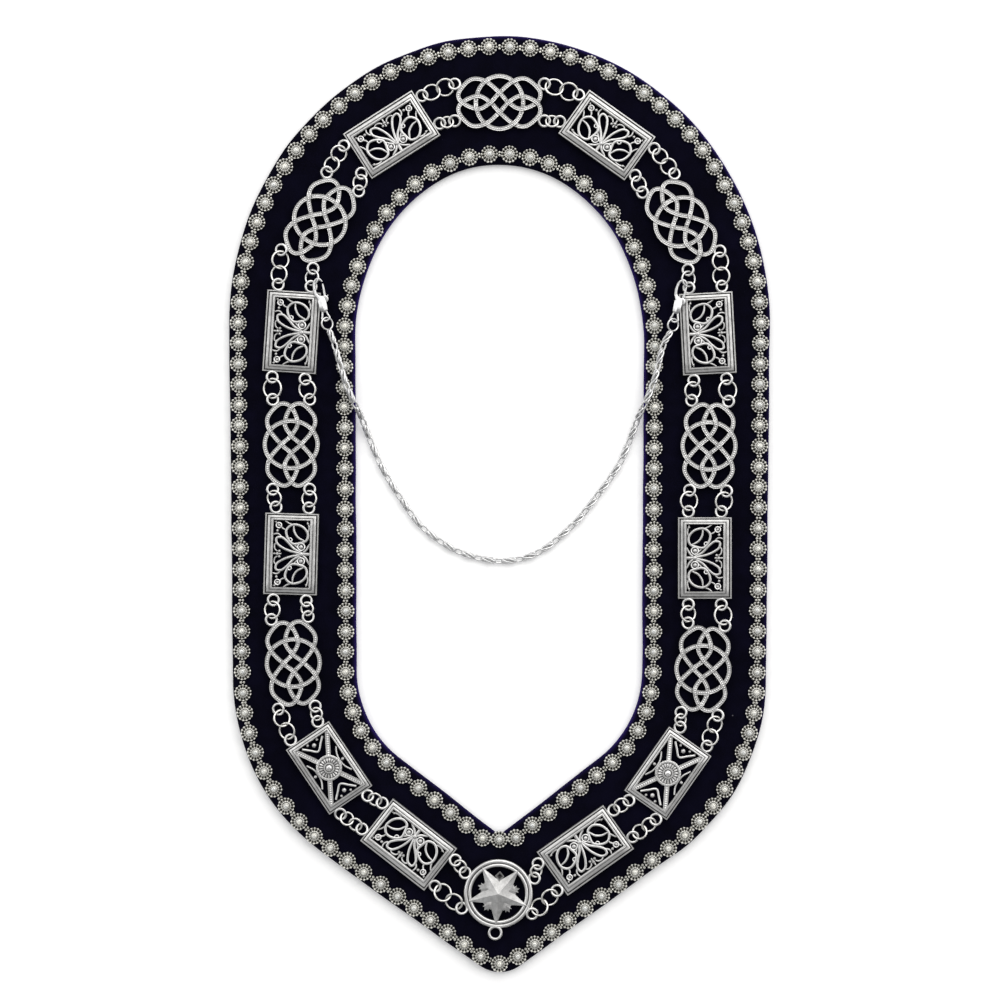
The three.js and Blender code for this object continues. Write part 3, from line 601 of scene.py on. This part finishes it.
def flower_stone():
    """A round brilliant with an eight-sided table."""
    half = math.pi / 8
    rings = [(0.66, 0, 2.58), (1.10, half, 2.36), (1.44, 0, 1.88), (1.44, half, 1.88)]  # radius, turn, height
    points = np.vstack([np.column_stack([arc((0, 0), r, r, round_angles(8) + turn), np.full(8, z)])
                        for r, turn, z in rings] + [[[0, 0, 2.58]], [[0, 0, 1.3]]])
    tris = []
    for i in range(8):
        n = (i + 1) % 8
        t0, t1, s0, g0, h0, g1 = i, n, 8 + i, 16 + i, 24 + i, 16 + n
        tris += [(32, t0, t1), (t0, s0, t1), (t0, g0, s0), (g0, h0, s0), (h0, g1, s0), (g1, t1, s0)]
        tris += [(33, h0, g0), (33, g1, h0)]
    stone = Shape()
    stone.add(points, tris=tris)
    return stone


def stone_trim(name, o, trim, sign, metal, crystal, seed):
    draw = np.random.default_rng(seed)
    flower, stone = flower_metal(), flower_stone()
    settings, stones = Shape(), Shape()
    here, ahead = even_places(trim_line(o, trim, sign))
    for place, following in zip(here, ahead):
        way = unit(following - place)
        turn = math.degrees(math.atan2(way[1], way[0])) + draw.uniform(-UNEVEN_TURN, UNEVEN_TURN)
        x, y = place + draw.uniform(-UNEVEN_PLACE, UNEVEN_PLACE, 2)
        lift = TRIM_LOW + draw.uniform(-UNEVEN_LIFT, UNEVEN_LIFT)
        settings.take(flower, turn, (x, y, lift))
        stones.take(stone, draw.uniform(0, 45), (x, y, lift + draw.uniform(-UNEVEN_LIFT, UNEVEN_LIFT)))
        gap = np.linalg.norm(following - place) - 2 * FLOWER_RADIUS
        for side in (-BEAD_ASIDE, BEAD_ASIDE):
            x, y = (place + following) / 2 + side * np.array([-way[1], way[0]])
            ball(settings, (x, y, TRIM_LOW + 0.75), max(0.62, gap / 2 + 0.12), 0.55, 8, 5, 0.85)
    settings.piece(f"{name}_flowers", metal, "stones", [f"{name}_stone_trim"], crease=70)
    stones.piece(f"{name}_stones", crystal, "stones", [f"{name}_stone_trim"], crease=5)


# Jump rings and cast loops

def loop_place(kind, inner, ahead):
    side, end = (1 if inner else -1), (1 if ahead else -1)
    if kind == "roundel":
        a = math.radians(ROUNDEL_INNER_ANGLE if inner else ROUNDEL_OUTER_ANGLE)
        return np.array([ROUNDEL_LOOP_OUT * math.cos(a), end * ROUNDEL_LOOP_OUT * math.sin(a)])
    if kind == "knot":
        return np.array([side * KNOT_LOOP_ACROSS, end * KNOT_LOOP_ALONG])
    long = SCROLL_PLATE["long"] if kind == "scroll" else BAR_PLATE["long"]
    return np.array([side * PLATE_LOOP_ACROSS, end * (long / 2 + LOOP_REACH)])


def on_collar(plate, place):
    _, _, x, y, turn = plate
    return turned(place, turn) + (x, y)


def ring_strands():
    strands = []
    for i, plate in enumerate(PLATES):
        following = PLATES[(i + 1) % len(PLATES)]
        for inner in (True, False):
            start = on_collar(plate, loop_place(plate[1], inner, True))
            end = on_collar(following, loop_place(following[1], inner, False))
            gap = np.linalg.norm(end - start)
            count, radius = 1, gap / 2 - RING_IN_LOOP
            if gap > LONGEST_SINGLE:
                count, radius = 2, max(RING_LEAST, (gap - 2 * RING_IN_LOOP + RING_LAP) / 4)
            strands.append(dict(number=i + 1, inner=inner, start=start, end=end, along=unit(end - start),
                                count=count, radius=radius, plate=plate[0], following=following[0]))
    return strands


STRANDS = ring_strands()


def add_rings(shape, strand, lean, draw):
    """The one or two rings between two plates; two lean opposite ways."""
    reach = strand["along"] * (strand["radius"] + RING_IN_LOOP)
    middles = [strand["start"] + reach, strand["end"] - reach]
    for middle, way in list(zip(middles, (lean, -lean)))[:strand["count"]]:
        wire_ring(shape, (*middle, RING_HEIGHT), strand["along"], way, strand["radius"], RING_WIRE,
                  cut=draw.uniform(60, 300))


def jump_rings(material):
    draw = np.random.default_rng(11)
    held = {clasp["ring"] for clasp in CLASPS.values()}
    for inner, word in ((True, "inner"), (False, "outer")):
        rings, nodes = Shape(), []
        for strand in STRANDS:
            if strand["inner"] != inner or (inner and strand["plate"] in held):
                continue
            add_rings(rings, strand, RING_LEAN, draw)
            nodes.append(f"{word}_ring_{strand['number']:02d}")
        rings.piece(f"{word}_jump_rings", material, "silver", nodes)


def cast_loops(shape, plate):
    name, kind, _, _, turn = plate
    for inner in (True, False):
        for ahead in (True, False):
            strand = next(s for s in STRANDS
                          if s["inner"] == inner and (s["plate"] if ahead else s["following"]) == name)
            lean = -LOOP_LEAN if ahead or strand["count"] == 1 else LOOP_LEAN
            place = loop_place(kind, inner, ahead)
            along = turned(strand["along"], -turn)
            wire_ring(shape, (*place, RING_HEIGHT), along, lean, LOOP_RADIUS, LOOP_WIRE, 32, polish=0.85)


# Plates, each in its own frame: +X towards the opening, +Y clockwise round the collar

def moulded_frame(shape, size):
    """A mitred frame: outer ledge, dark groove, broad band, fine groove and inner ridge."""
    deep = (size["long"] - size["window_long"]) / 2
    across = (size["wide"] - size["window_wide"]) / 2
    rows = [  # part of the way in, height, polish
        (0.0, PLATE_LOW, 0.2), (0.0, 7.6, 0.5), (0.04, 7.95, 0.6), (0.17, 8.0, 0.6), (0.19, 7.84, 0.45),
        (0.21, 7.58, 0.14), (0.30, 7.58, 0.14), (0.325, 7.80, 0.42), (0.35, 7.88, 0.56), (0.60, 8.02, 0.58),
        (0.635, 7.8, 0.34), (0.69, 7.8, 0.34), (0.73, 8.12, 0.55), (0.78, 8.22, 0.62), (0.90, 8.22, 0.62),
        (0.95, 8.05, 0.62), (0.985, 7.6, 0.4), (1.0, 7.0, 0.15), (1.0, PLATE_LOW + 0.2, 0.0),
        (0.9, PLATE_LOW, 0.0),
    ]
    t, z, polish = np.array(rows).T
    half = np.column_stack([size["wide"] / 2 - t * across, size["long"] / 2 - t * deep])
    corners = np.array([(1, -1), (1, 1), (-1, 1), (-1, -1)])
    sides = (np.roll(corners, -1, 0) - corners)[:, None] * (np.arange(8) / 8)[:, None]
    plan = (corners[:, None] + sides).reshape(-1, 1, 2) * half
    add_sections(shape, np.dstack([plan, np.broadcast_to(z, plan.shape[:2])]), True, polish)


WIRE_SECTION = np.array([(-0.5, -1.5), (-0.52, -0.55), (-0.40, -0.12), (-0.16, 0.06), (0.16, 0.06),
                         (0.40, -0.12), (0.52, -0.55), (0.5, -1.5)])
WIRE_POLISH = np.array([0.0, 0.2, 0.46, 0.64, 0.64, 0.46, 0.2, 0.0])
WIRE_FULLNESS = 1.24


def scroll_wire(shape, points, width, top, closed=False, taper=0.0):
    """Half-round cast wire; the ends of an open one may taper by a part of the width."""
    path = curve(points, closed, 0.45)
    path[:, 2] = top
    t = np.linspace(0, 1, len(path))
    scale = WIRE_FULLNESS * width * (1 - (0.0 if closed else taper) * np.abs(2 * t - 1) ** 3)
    section = WIRE_SECTION[None] * np.stack([scale, np.clip(scale, 0.75, 1.1)], -1)[:, None]
    sweep(shape, path, section, closed, WIRE_POLISH)


def scroll_plate():
    plate = Shape()
    moulded_frame(plate, SCROLL_PLATE)
    wires = [  # points, width, top, closed
        ([(5.6, 0.5), (1.4, 2.9), (-2.2, 6.6), (-5.3, 8.9), (-8.1, 8.4), (-7.6, 5.4), (-4.0, 2.9),
          (0.4, 1.3)], 1.15, 7.55, True),
        ([(4.3, 5.9), (0.6, 5.6), (-2.2, 8.8), (-2.8, 13.0), (0.6, 15.9), (5.6, 14.9), (8.7, 11.3),
          (8.0, 7.4)], 1.2, 7.75, True),
        ([(1.0, 15.4), (1.5, 12.0), (3.6, 8.9), (7.4, 7.0)], 1.05, 7.5, False),
        ([(5.6, 0.4), (8.0, 2.2), (9.9, 5.6)], 1.05, 7.4, False),
        ([(4.4, 0.2), (4.7, 2.0), (3.1, 3.6), (1.5, 5.2), (0.4, 5.9)], 0.9, 7.35, False),
        ([(8.7, 11.3), (9.5, 14.2), (8.4, 17.6)], 0.95, 7.35, False),
        ([(-2.8, 13.0), (-4.7, 13.6), (-6.1, 15.0), (-7.6, 16.4), (-9.3, 17.4)], 0.9, 7.35, False),
        ([(-5.3, 8.9), (-6.6, 10.4), (-8.0, 10.9), (-9.9, 10.4)], 0.9, 7.3, False),
        ([(0.6, 15.9), (-1.8, 16.7), (-4.0, 18.2)], 0.85, 7.3, False),
        ([(-8.1, 6.0), (-9.2, 4.6), (-8.8, 2.4), (-7.4, 1.3)], 0.85, 7.3, False),
    ]
    for half in (1, -1):
        for points, width, top, closed in wires:
            scroll_wire(plate, [(x, half * y) for x, y in points], width, top, closed, 0.35)
        for x, y, radius, wire in ((5.4, 3.9, 1.9, 0.42), (-7.0, 15.4, 1.45, 0.40), (-0.7, 7.6, 1.0, 0.36)):
            lathe(plate, arc((radius, 7.35), wire, 1.2 * wire, round_angles(8)), 20, 0.8, (x, half * y))
        for x, y, radius in ((5.3, 3.9, 1.25), (-7.0, 15.4, 0.8), (-7.7, 12.5, 0.85), (-6.4, 1.5, 0.8),
                             (-8.6, 17.2, 0.6), (8.6, 16.6, 0.75)):
            ball(plate, (x, half * y, 7.3), radius, min(radius, 0.95), polish=0.95)
    ball(plate, (-7.6, 0, 7.2), 0.95, 0.9, polish=0.95)
    scroll_wire(plate, [(-10.0, 0), (-7.6, 0.02), (-5.4, 0)], 0.9, 7.2)
    scroll_wire(plate, [(3.9, 0), (7.0, 0.02), (10.0, 0)], 1.5, 7.5)
    ball(plate, (5.4, 0, 7.45), 1.25, 0.8)
    return plate


KNOT_OVAL = dict(across=14.3, along=12.8)
KNOT_LOOP = [(0, -20.2), (-5.3, -22.0), (-12.3, -15.6), (-11.6, -7.7), (-5.3, 0), (0, 4.9), (3.5, 11.6),
             (0, 20.2), (-6.1, 21.8), (-12.6, 14.8), (-11.6, 7.7), (-5.3, 0), (0, -4.9), (3.5, -11.6)]
OVER, UNDER = dict(lift=0.3, reach=2.0), dict(lift=-0.62, reach=1.5)
# Right half of a grooved strand, from beside the row of beads in its middle: across, up, polish
STRAND_SIDE = [(0.58, -0.26, 0.4), (0.80, 0.0, 1.0), (1.16, 0.03, 1.0), (1.40, -0.2, 0.9),
               (1.46, -1.0, 0.35), (1.15, -2.85, 0.0)]
BEAD_PITCH = 1.2


def crossings(lines):
    """Where closed lines cross: pairs of (line, index) for the two passages of each crossing."""
    owner = np.concatenate([np.full(len(line), n) for n, line in enumerate(lines)])
    index = np.concatenate([np.arange(len(line)) for line in lines])
    a = np.vstack([line[:, :2] for line in lines])
    d = np.vstack([np.roll(line[:, :2], -1, 0) - line[:, :2] for line in lines])
    found = []
    for i in range(len(a)):
        w = a[i + 1:] - a[i]
        cross = d[i, 0] * d[i + 1:, 1] - d[i, 1] * d[i + 1:, 0]
        cross = np.where(np.abs(cross) < 1e-12, 1e-12, cross)
        t = (w[:, 0] * d[i + 1:, 1] - w[:, 1] * d[i + 1:, 0]) / cross
        u = (w[:, 0] * d[i, 1] - w[:, 1] * d[i, 0]) / cross
        for j in np.nonzero((t >= 0) & (t < 1) & (u >= 0) & (u < 1))[0] + i + 1:
            apart = abs(index[i] - index[j])
            if owner[i] == owner[j] and min(apart, len(lines[owner[i]]) - apart) < 3:
                continue
            found.append(((owner[i], index[i]), (owner[j], index[j])))
    return found


def weave(lines):
    """Which passages run over: over and under take turns along every strand."""
    pairs = crossings(lines)
    mate = {}
    for a, b in pairs:
        mate[a], mate[b] = b, a
    along = [sorted(p for p in mate if p[0] == n) for n in range(len(lines))]
    over = {}
    for first in mate:
        if first in over:
            continue
        over[first] = True
        waiting = [first]
        while waiting:
            p = waiting.pop()
            ring = along[p[0]]
            k = ring.index(p)
            for q in (mate[p], ring[(k + 1) % len(ring)], ring[k - 1]):
                if q not in over:
                    over[q] = not over[p]
                    waiting.append(q)
    return [[(i, over[(n, i)]) for _, i in along[n]] for n in range(len(lines))]


def beaded(beads, height, polish, narrow, low):
    """Section and polish at each point of a grooved strand; beads says how high its beads stand there."""
    (dip, rise), (dull, gain) = height, polish
    u, v, p = np.array(STRAND_SIDE).T * [[narrow], [1], [1]]
    v = np.maximum(v, low)
    section = [[*zip(-u[::-1], v[::-1]), (0, dip + rise * b), *zip(u, v)] for b in beads]
    return np.array(section), np.array([[*p[::-1], dull + gain * b, *p] for b in beads])


def knot_plate():
    """An oval and two mirrored loops of grooved strand, woven over and under each other."""
    step = 0.3
    oval = arc((0, 0), KNOT_OVAL["across"], KNOT_OVAL["along"],
               np.linspace(0, 2 * math.pi, 48, endpoint=False))
    lines = [curve(points, True, step) for points in (oval, KNOT_LOOP, [(-x, y) for x, y in KNOT_LOOP])]
    plate = Shape()
    for line, passes in zip(lines, weave(lines)):
        count = len(line)
        index = np.arange(count)
        lift = np.zeros(count)
        for at, over in passes:
            apart = np.abs(index - at)
            apart = np.minimum(apart, count - apart) * step
            way = OVER if over else UNDER
            lift += way["lift"] * np.exp(-(apart / way["reach"]) ** 4)
        line[:, 2] = PLATE_TOP + lift
        beads = 0.5 + 0.5 * np.cos(2 * math.pi * round(count * step / BEAD_PITCH) * index / count)
        section, polish = beaded(beads, (-0.32, 0.42), (0.55, 0.45), 0.85, -2.85)
        section[:, [0, -1], 1] -= lift[:, None]
        sweep(plate, line, section, True, polish)
    return plate


def barred_plate():
    """Two crossed bars with a beaded middle line, and a round rayed boss where they cross."""
    plate = Shape()
    moulded_frame(plate, BAR_PLATE)
    a, b = BAR_PLATE["window_long"] / 2 + 0.6, BAR_PLATE["window_wide"] / 2 + 0.6
    for sign, top in ((1, 7.55), (-1, 7.53)):
        path = curve([(-sign * b, -a), (0, 0.001), (sign * b, a)])
        path[:, 2] = top
        beads = 0.5 + 0.5 * np.cos(2 * math.pi * np.arange(len(path)) * 0.3 / BEAD_PITCH)
        section, polish = beaded(beads, (-0.40, 0.46), (0.35, 0.6), 0.92, -2.2)
        sweep(plate, path, section, False, polish)
    plate.take(ribbed_disc(20, [
        (2.0, 8.2, 0.2), (2.3, 8.7, 1.0), (2.85, 2.85, 8.7, 8.65, 1.0, 0.9),
        (3.15, 3.15, 8.25, 7.9, 0.5, 0.1), (4.2, 4.2, 8.4, 7.8, 1.0, 0.1), (5.25, 5.25, 8.2, 7.7, 0.95, 0.1),
        (5.5, 5.5, 7.75, 7.65, 0.2, 0.1), (5.75, 8.2, 0.9), (6.4, 8.35, 1.0), (6.95, 8.15, 0.8),
        (7.05, 7.6, 0.4), (7.05, 5.1, 0.0),
    ], 8.2, 5.1))
    ball(plate, (0, 0, 8.1), 1.85, 1.1, 20, 9)
    for x, y in arc((0, 0), 6.35, 6.35, round_angles(28)):
        ball(plate, (x, y, 8.25), 0.55, 0.5, 8, 5)
    for end in (1, -1):
        scroll_wire(plate, [(-6.6, end * 16.4), (-3.6, end * 13.6), (0, end * 10.6), (3.6, end * 13.6),
                            (6.6, end * 16.4)], 1.0, 7.3)
        for x, y, radius in ((0, 14.6, 1.3), (-3.0, 16.4, 0.8), (3.0, 16.4, 0.8)):
            ball(plate, (x, end * y, 7.2), radius, min(radius, 0.95), 14, polish=0.95)
        scroll_wire(plate, [(end * 9.6, -7.6), (end * 7.6, -3.8), (end * 7.1, 0.01), (end * 7.6, 3.8),
                            (end * 9.6, 7.6)], 0.9, 7.2)
        ball(plate, (end * 8.9, 0, 7.2), 0.95, 0.9, polish=0.95)
    return plate


def star(shape):
    """Five-pointed faceted star, its first arm at -X, with high arm ridges and low inner corners."""
    tip, inner, peak = (17.0, 8.5), (7.0, 7.25), 9.2  # radius and height of the tips and inner corners
    rim, low = [], []
    for i in range(10):
        r, z = inner if i % 2 else tip
        x, y = turned((-r, 0), 36 * i)
        rim.append((x, y, z))
        low.append((x * 0.985, y * 0.985, INLAY_LOW))
    i = np.arange(10)
    k = np.roll(i, -1)
    shape.add(rim + low + [(0, 0, peak), (0, 0, INLAY_LOW)], np.stack([i, 10 + i, 10 + k, k], -1),
              np.vstack([fan(20, i), fan(21, 10 + i, True)]), [0.56] * 10 + [0.1] * 10 + [0.60, 0.0])


def leaf(edge, middle, polish, dip=None):
    """A casting between two arms, from half its outline; a dip hollows it inside a narrow border."""
    edge = edge + [(x, -y) for x, y in edge[-2:0:-1]]
    count = len(edge)
    points = [(x, y, 7.45) for x, y in edge] + [(x, y, INLAY_LOW) for x, y in edge]
    j = np.arange(count)
    k = np.roll(j, -1)
    quads, ring, values = [np.stack([j, count + j, count + k, k], -1)], j, [0.5] * count + [0.0] * count
    if dip:
        points += [(middle[0] + (x - middle[0]) * 0.5, y * 0.45, dip) for x, y in edge]
        quads.append(np.stack([2 * count + j, j, k, 2 * count + k], -1))
        ring, values = 2 * count + j, values + [0.2] * count
    top = len(points)
    shape = Shape()
    shape.add(points + [middle, (*middle[:2], INLAY_LOW)], np.vstack(quads),
              np.vstack([fan(top, ring), fan(top + 1, count + j, True)]), values + [polish, 0.0])
    return shape


def star_roundel():
    plate = Shape()
    rows = np.array([  # radius, height, polish
        (14.4, 5.0, 0.0), (18.6, 4.95, 0.1), (18.7, 7.3, 0.5), (18.55, 7.75, 0.72), (18.0, 8.12, 0.78),
        (17.4, 8.2, 0.76), (16.9, 8.02, 0.62), (16.62, 7.66, 0.26), (16.38, 7.66, 0.26), (16.15, 8.0, 0.62),
        (15.6, 8.25, 0.8), (15.0, 8.15, 0.8), (14.55, 7.7, 0.6), (14.4, 7.0, 0.2),
    ])
    lathe(plate, rows[:, :2], 96, rows[:, 2])
    star(plate)
    flame = leaf([(5.0, 0), (6.8, -1.6), (9.2, -2.7), (9.4, -1.5), (10.8, -1.9), (10.2, -0.9), (11.9, 0)],
                 (7.6, 0, 8.0), 0.55)
    diamond = leaf([(6.4, 0), (9.5, -2.5), (12.2, 0)], (9.6, 0, 6.6), 0.0, 7.4)
    for i, inlay in enumerate((flame, flame, diamond, flame, flame)):
        plate.take(inlay, 180 + (2 * i + 1) * 36)
    hanger = PENDANT_LOOP
    wire_ring(plate, (-hanger["out"], 0, RING_HEIGHT), (1, 0), 0, hanger["radius"], hanger["wire"], sides=12)
    return plate


def make_plates(material):
    made = {"knot": knot_plate(), "scroll": scroll_plate(), "barred": barred_plate(),
            "roundel": star_roundel()}
    for plate in PLATES:
        name, kind, x, y, turn = plate
        local = Shape()
        local.take(made[kind])
        local.polish = [p * BRIGHTER_PLATES.get(name, 1.0) for p in local.polish]
        cast_loops(local, plate)
        whole = Shape()
        whole.take(local, turn, (x, y, 0))
        whole.piece(f"{name}_cast", material, "silver", [name], crease=38)


# Clasps, +Y from the tail to the hook

def oval_section(half_wide, half_high, sides, square=2.4):
    """An oval, nearer to a rectangle for a larger square."""
    a = round_angles(sides)
    across, up = blunt(np.cos(a), 2 / square), blunt(np.sin(a), 2 / square)
    return np.column_stack([half_wide * across, half_high * up])


def tapered(shape, line, stops, widths, height, sides):
    """A rounded bar along a line; height says how high its section is for a width."""
    wide = np.interp(np.linspace(0, 1, len(line)), stops, widths)
    sweep(shape, line, np.stack([oval_section(w, height(w), sides) for w in wide]))


def clasp_body():
    body = Shape()
    rows = [(0.2, 0.0, 0.9, 0.8), (0.9, 0.0, 1.7, 1.2), (1.4, 0.0, 1.95, 1.5), (4.5, 0.0, 2.1, 1.7),
            (7.4, -0.1, 2.1, 1.7), (8.2, -0.5, 1.75, 1.6), (8.8, -1.2, 1.2, 1.2), (9.6, -1.8, 0.95, 0.95),
            (10.4, -2.25, 0.85, 0.85)]
    path = np.array([(x, y, 0) for y, x, _, _ in rows])
    section = np.stack([oval_section(w, h, 24, 4.0 if y < 8 else 2.4) for y, _, w, h in rows])
    u, v = section[..., 0], section[..., 1]
    section[..., 1] = np.minimum(v, v.max(1)[:, None] - CLASP_ROOF * np.abs(u))
    sweep(body, path, section)
    hook = curve([(-2.25, 9.8), (-2.55, 12.2), (-2.5, 14.6), (-2.0, 16.8), (-0.9, 18.3), (0.5, 18.7),
                  (1.7, 17.9), (2.35, 16.7)], step=0.35)
    tapered(body, hook, [0, 0.5, 0.85, 1], [0.85, 0.72, 0.68, 0.4], lambda w: w * 0.95, 14)
    for side in (-1, 1):
        dome(body, [(0, side * 0.62 + 0.22), (1.3, side * 0.62 + 0.2), (1.8, side * 0.62 + 0.08),
                    (1.8, side * 0.62 - 0.1), (0, side * 0.62 - 0.18)], 24, (1.9, 7.3))
    dome(body, [(0, 1.05), (0.35, 1.02), (0.5, 0.9), (0.45, -0.9), (0, -0.92)], 14, CLASP_PIN)
    tail = curve([(1.5, -1.2), (0.95, 0.8), (0, 1.5), (-0.95, 0.8), (-1.5, -1.2), (-2.05, -3.3), (0, -4.4),
                  (2.05, -3.3)], True, 0.35)
    sweep(body, tail, oval_section(0.48, 0.5, 10), True, 0.95)
    return body


def clasp_lever():
    lever = Shape()
    arm = curve([(3.9, 9.1), (3.0, 8.2), (2.2, 8.3), (2.2, 10.2), (2.35, 12.6), (2.4, 15.6)])
    tapered(lever, arm, [0, 0.15, 0.4, 0.9, 1], [0.35, 0.55, 0.6, 0.5, 0.3], lambda w: 0.36, 12)
    lathe(lever, [(0.62, -0.3), (1.25, -0.3), (1.32, 0.0), (1.25, 0.3), (0.62, 0.3)], 24, centre=CLASP_PIN)
    return lever


def make_clasps(material):
    draw = np.random.default_rng(12)
    for side, clasp in CLASPS.items():
        strand = next(s for s in STRANDS if s["inner"] and s["plate"] == clasp["ring"])
        move = (clasp["x"], clasp["y"], CLASP_HEIGHT)
        whole = Shape()
        whole.take(clasp_body(), clasp["turn"], move)
        add_rings(whole, strand, HELD_RING_LEAN, draw)
        whole.piece(f"{side}_clasp_body", material, "silver", [f"{side}_clasp"], crease=40)
        lever = Shape()
        lever.take(clasp_lever(), clasp["turn"], move)
        lever.piece(f"{side}_clasp_gate", material, "silver", [f"{side}_clasp_lever"], f"{side}_lever", 60)


# Neck chain

def chain_link(shape, centre, ahead, long, wide, wire, tilt, twist=0):
    """An oval wire link along a direction; twist turns its two ends against each other."""
    rise = unit(UP - ahead * ahead[2])
    across = np.cross(rise, ahead)
    t = round_angles(40)
    along, aside = blunt(np.cos(t), 0.8), blunt(np.sin(t), 0.75)
    x, y = (long / 2 - wire) * along, (wide / 2 - wire) * aside
    roll = math.radians(tilt) + math.radians(twist) * along / 2
    line = (centre + x[:, None] * ahead + (y * np.cos(roll))[:, None] * across
            + (y * np.sin(roll))[:, None] * rise)
    way = unit(np.roll(line, -1, 0) - np.roll(line, 1, 0))
    side = unit(np.cross(way, line - centre - x[:, None] * ahead * 0.55))
    out = np.cross(side, way)
    b = round_angles(8)[:, None]
    rows = line[:, None] + wire * (np.cos(b) * out[:, None] + np.sin(b) * side[:, None])
    add_sections(shape, rows, True, 0.9)


def neck_chain(material):
    """From clasp to clasp, dense links made of two crossed and twisted wires take turns with open ones."""
    chain = Shape()
    ends, ring = [], TAIL_RING
    for clasp in CLASPS.values():
        way = turned((0, -1), clasp["turn"])
        tail = turned((0, ring["in_loop"] - ring["radius"]), clasp["turn"]) + (clasp["x"], clasp["y"])
        wire_ring(chain, (*tail, CLASP_HEIGHT), way, ring["lean"], ring["radius"], ring["wire"], cut=40)
        ends.append((*(tail + way * (ring["radius"] - 0.4)), CLASP_HEIGHT))
    route = curve([ends[0], *CHAIN_ROUTE, ends[1]], step=0.25)
    run = run_along(route)
    unit_long = OPEN_LINK + DENSE_LINK - 2 * LINK_LAP
    units = round((run[-1] - DENSE_LINK) / unit_long)
    scale = run[-1] / (units * unit_long + DENSE_LINK)
    at = 0.0
    for i in range(2 * units + 1):
        long = (OPEN_LINK if i % 2 else DENSE_LINK) * scale
        before, centre, after = (np.array([np.interp(at + long / 2 + d, run, route[:, k]) for k in range(3)])
                                 for d in (-1, 0, 1))
        ahead = unit(after - before)
        if i % 2:
            chain_link(chain, centre, ahead, long, wide=3.5, wire=0.55, tilt=12)
        else:
            for tilt in (45, 135):
                chain_link(chain, centre, ahead, long, wide=3.8, wire=0.64, tilt=tilt, twist=130)
        at += long - LINK_LAP * scale
    chain.piece("neck_chain_links", material, "silver", ["neck_chain"])


# Ground, lights and camera

def studio():
    ground = Finish("white_ground", Roughness=0.85, Specular_IOR_Level=0.1,
                    Emission_Color=rgb(1.0, 1.0, 1.0), Emission_Strength=0.12)
    ground.feed(Base_Color=ground.blend(ground.spread(ground.noise(3), 0.3, 0.7),
                                        rgb(0.97, 0.97, 0.97), rgb(0.985, 0.985, 0.985)))
    bpy.ops.mesh.primitive_plane_add(size=12, location=(0, 0, -0.0001))
    floor = bpy.context.object
    floor.name = "ground"
    floor.data.materials.append(ground.material)
    sky = Finish("studio_walls", sky=True, Strength=1.0)
    way = sky.node("ShaderNodeTexCoord")
    height = sky.node("ShaderNodeSeparateXYZ", {}, {0: way}, output="Z")
    depth = sky.node("ShaderNodeSeparateXYZ", {}, {0: way}, output="Y")
    wall = sky.node("ShaderNodeValToRGB", {"stops": [
        (0.0, (0.12, 0.12, 0.13)), (0.12, (0.24, 0.24, 0.25)), (0.45, (0.60, 0.60, 0.61)),
        (0.8, (0.58, 0.58, 0.58)), (0.97, (0.54, 0.54, 0.54))]}, {"Fac": height})
    sky.feed(Color=sky.blend(1.0, wall, sky.spread(depth, -0.65, 0.5, 0.42, 1.15), "MULTIPLY"))
    bpy.context.scene.world = sky.material
    lamps = [  # name, place, size, watts, colour
        ("back_softbox", (0.35, 1.75, 1.75), 2.8, 35, (1.0, 0.99, 0.97)),
        ("left_softbox", (-1.9, 0.3, 1.6), 2.2, 15, (1.0, 1.0, 1.0)),
        ("right_softbox", (1.9, 0.4, 1.6), 2.2, 18, (1.0, 0.99, 0.98)),
        ("front_fill", (-0.2, -1.9, 1.8), 1.8, 4, (0.96, 0.98, 1.0)),
    ]
    for name, place, size, watts, colour in lamps:
        lamp = bpy.data.lights.new(name, "AREA")
        lamp.shape, lamp.size, lamp.energy, lamp.color = "DISK", size, watts, colour
        thing = bpy.data.objects.new(name, lamp)
        thing.location = place
        thing.rotation_euler = Vector(place).to_track_quat("Z", "Y").to_euler()
        bpy.context.scene.collection.objects.link(thing)


def camera():
    """Straight above, with a view 0.5416 m wide at the height of the plates."""
    eye = bpy.data.cameras.new("camera")
    eye.sensor_width = 36
    distance, field, plates = 1.7, 0.5416, 0.006
    eye.lens = eye.sensor_width * distance / field
    thing = bpy.data.objects.new("camera", eye)
    thing.location = (0.00027, 0.00217, distance + plates)
    bpy.context.scene.collection.objects.link(thing)
    bpy.context.scene.camera = thing


camera()
silver = antique_silver("antiqued_silver", bright=(0.78, 0.775, 0.765), dark=(0.030, 0.029, 0.030),
                        full=0.85, smooth=0.36, rough=0.55, grain=0.4)
flower_silver = antique_silver("setting_silver", bright=(0.80, 0.79, 0.74), dark=(0.014, 0.013, 0.012),
                               full=0.8, smooth=0.3, rough=0.5, grain=0.3)
wire_silver = bright_silver("wire_silver", (0.82, 0.81, 0.78), 0.28)
chain_silver = bright_silver("chain_silver", (0.72, 0.72, 0.72), 0.27)
crystal = crystal_finish()
velvet_band(velvet_finish())
stone_trim("outer", OUTER, OUTER_TRIM, 1, flower_silver, crystal, 21)
stone_trim("inner", INNER, INNER_TRIM, -1, flower_silver, crystal, 22)
make_plates(silver)
jump_rings(wire_silver)
make_clasps(chain_silver)
neck_chain(chain_silver)
studio()
bpy.context.scene.view_settings.view_transform = "Standard"
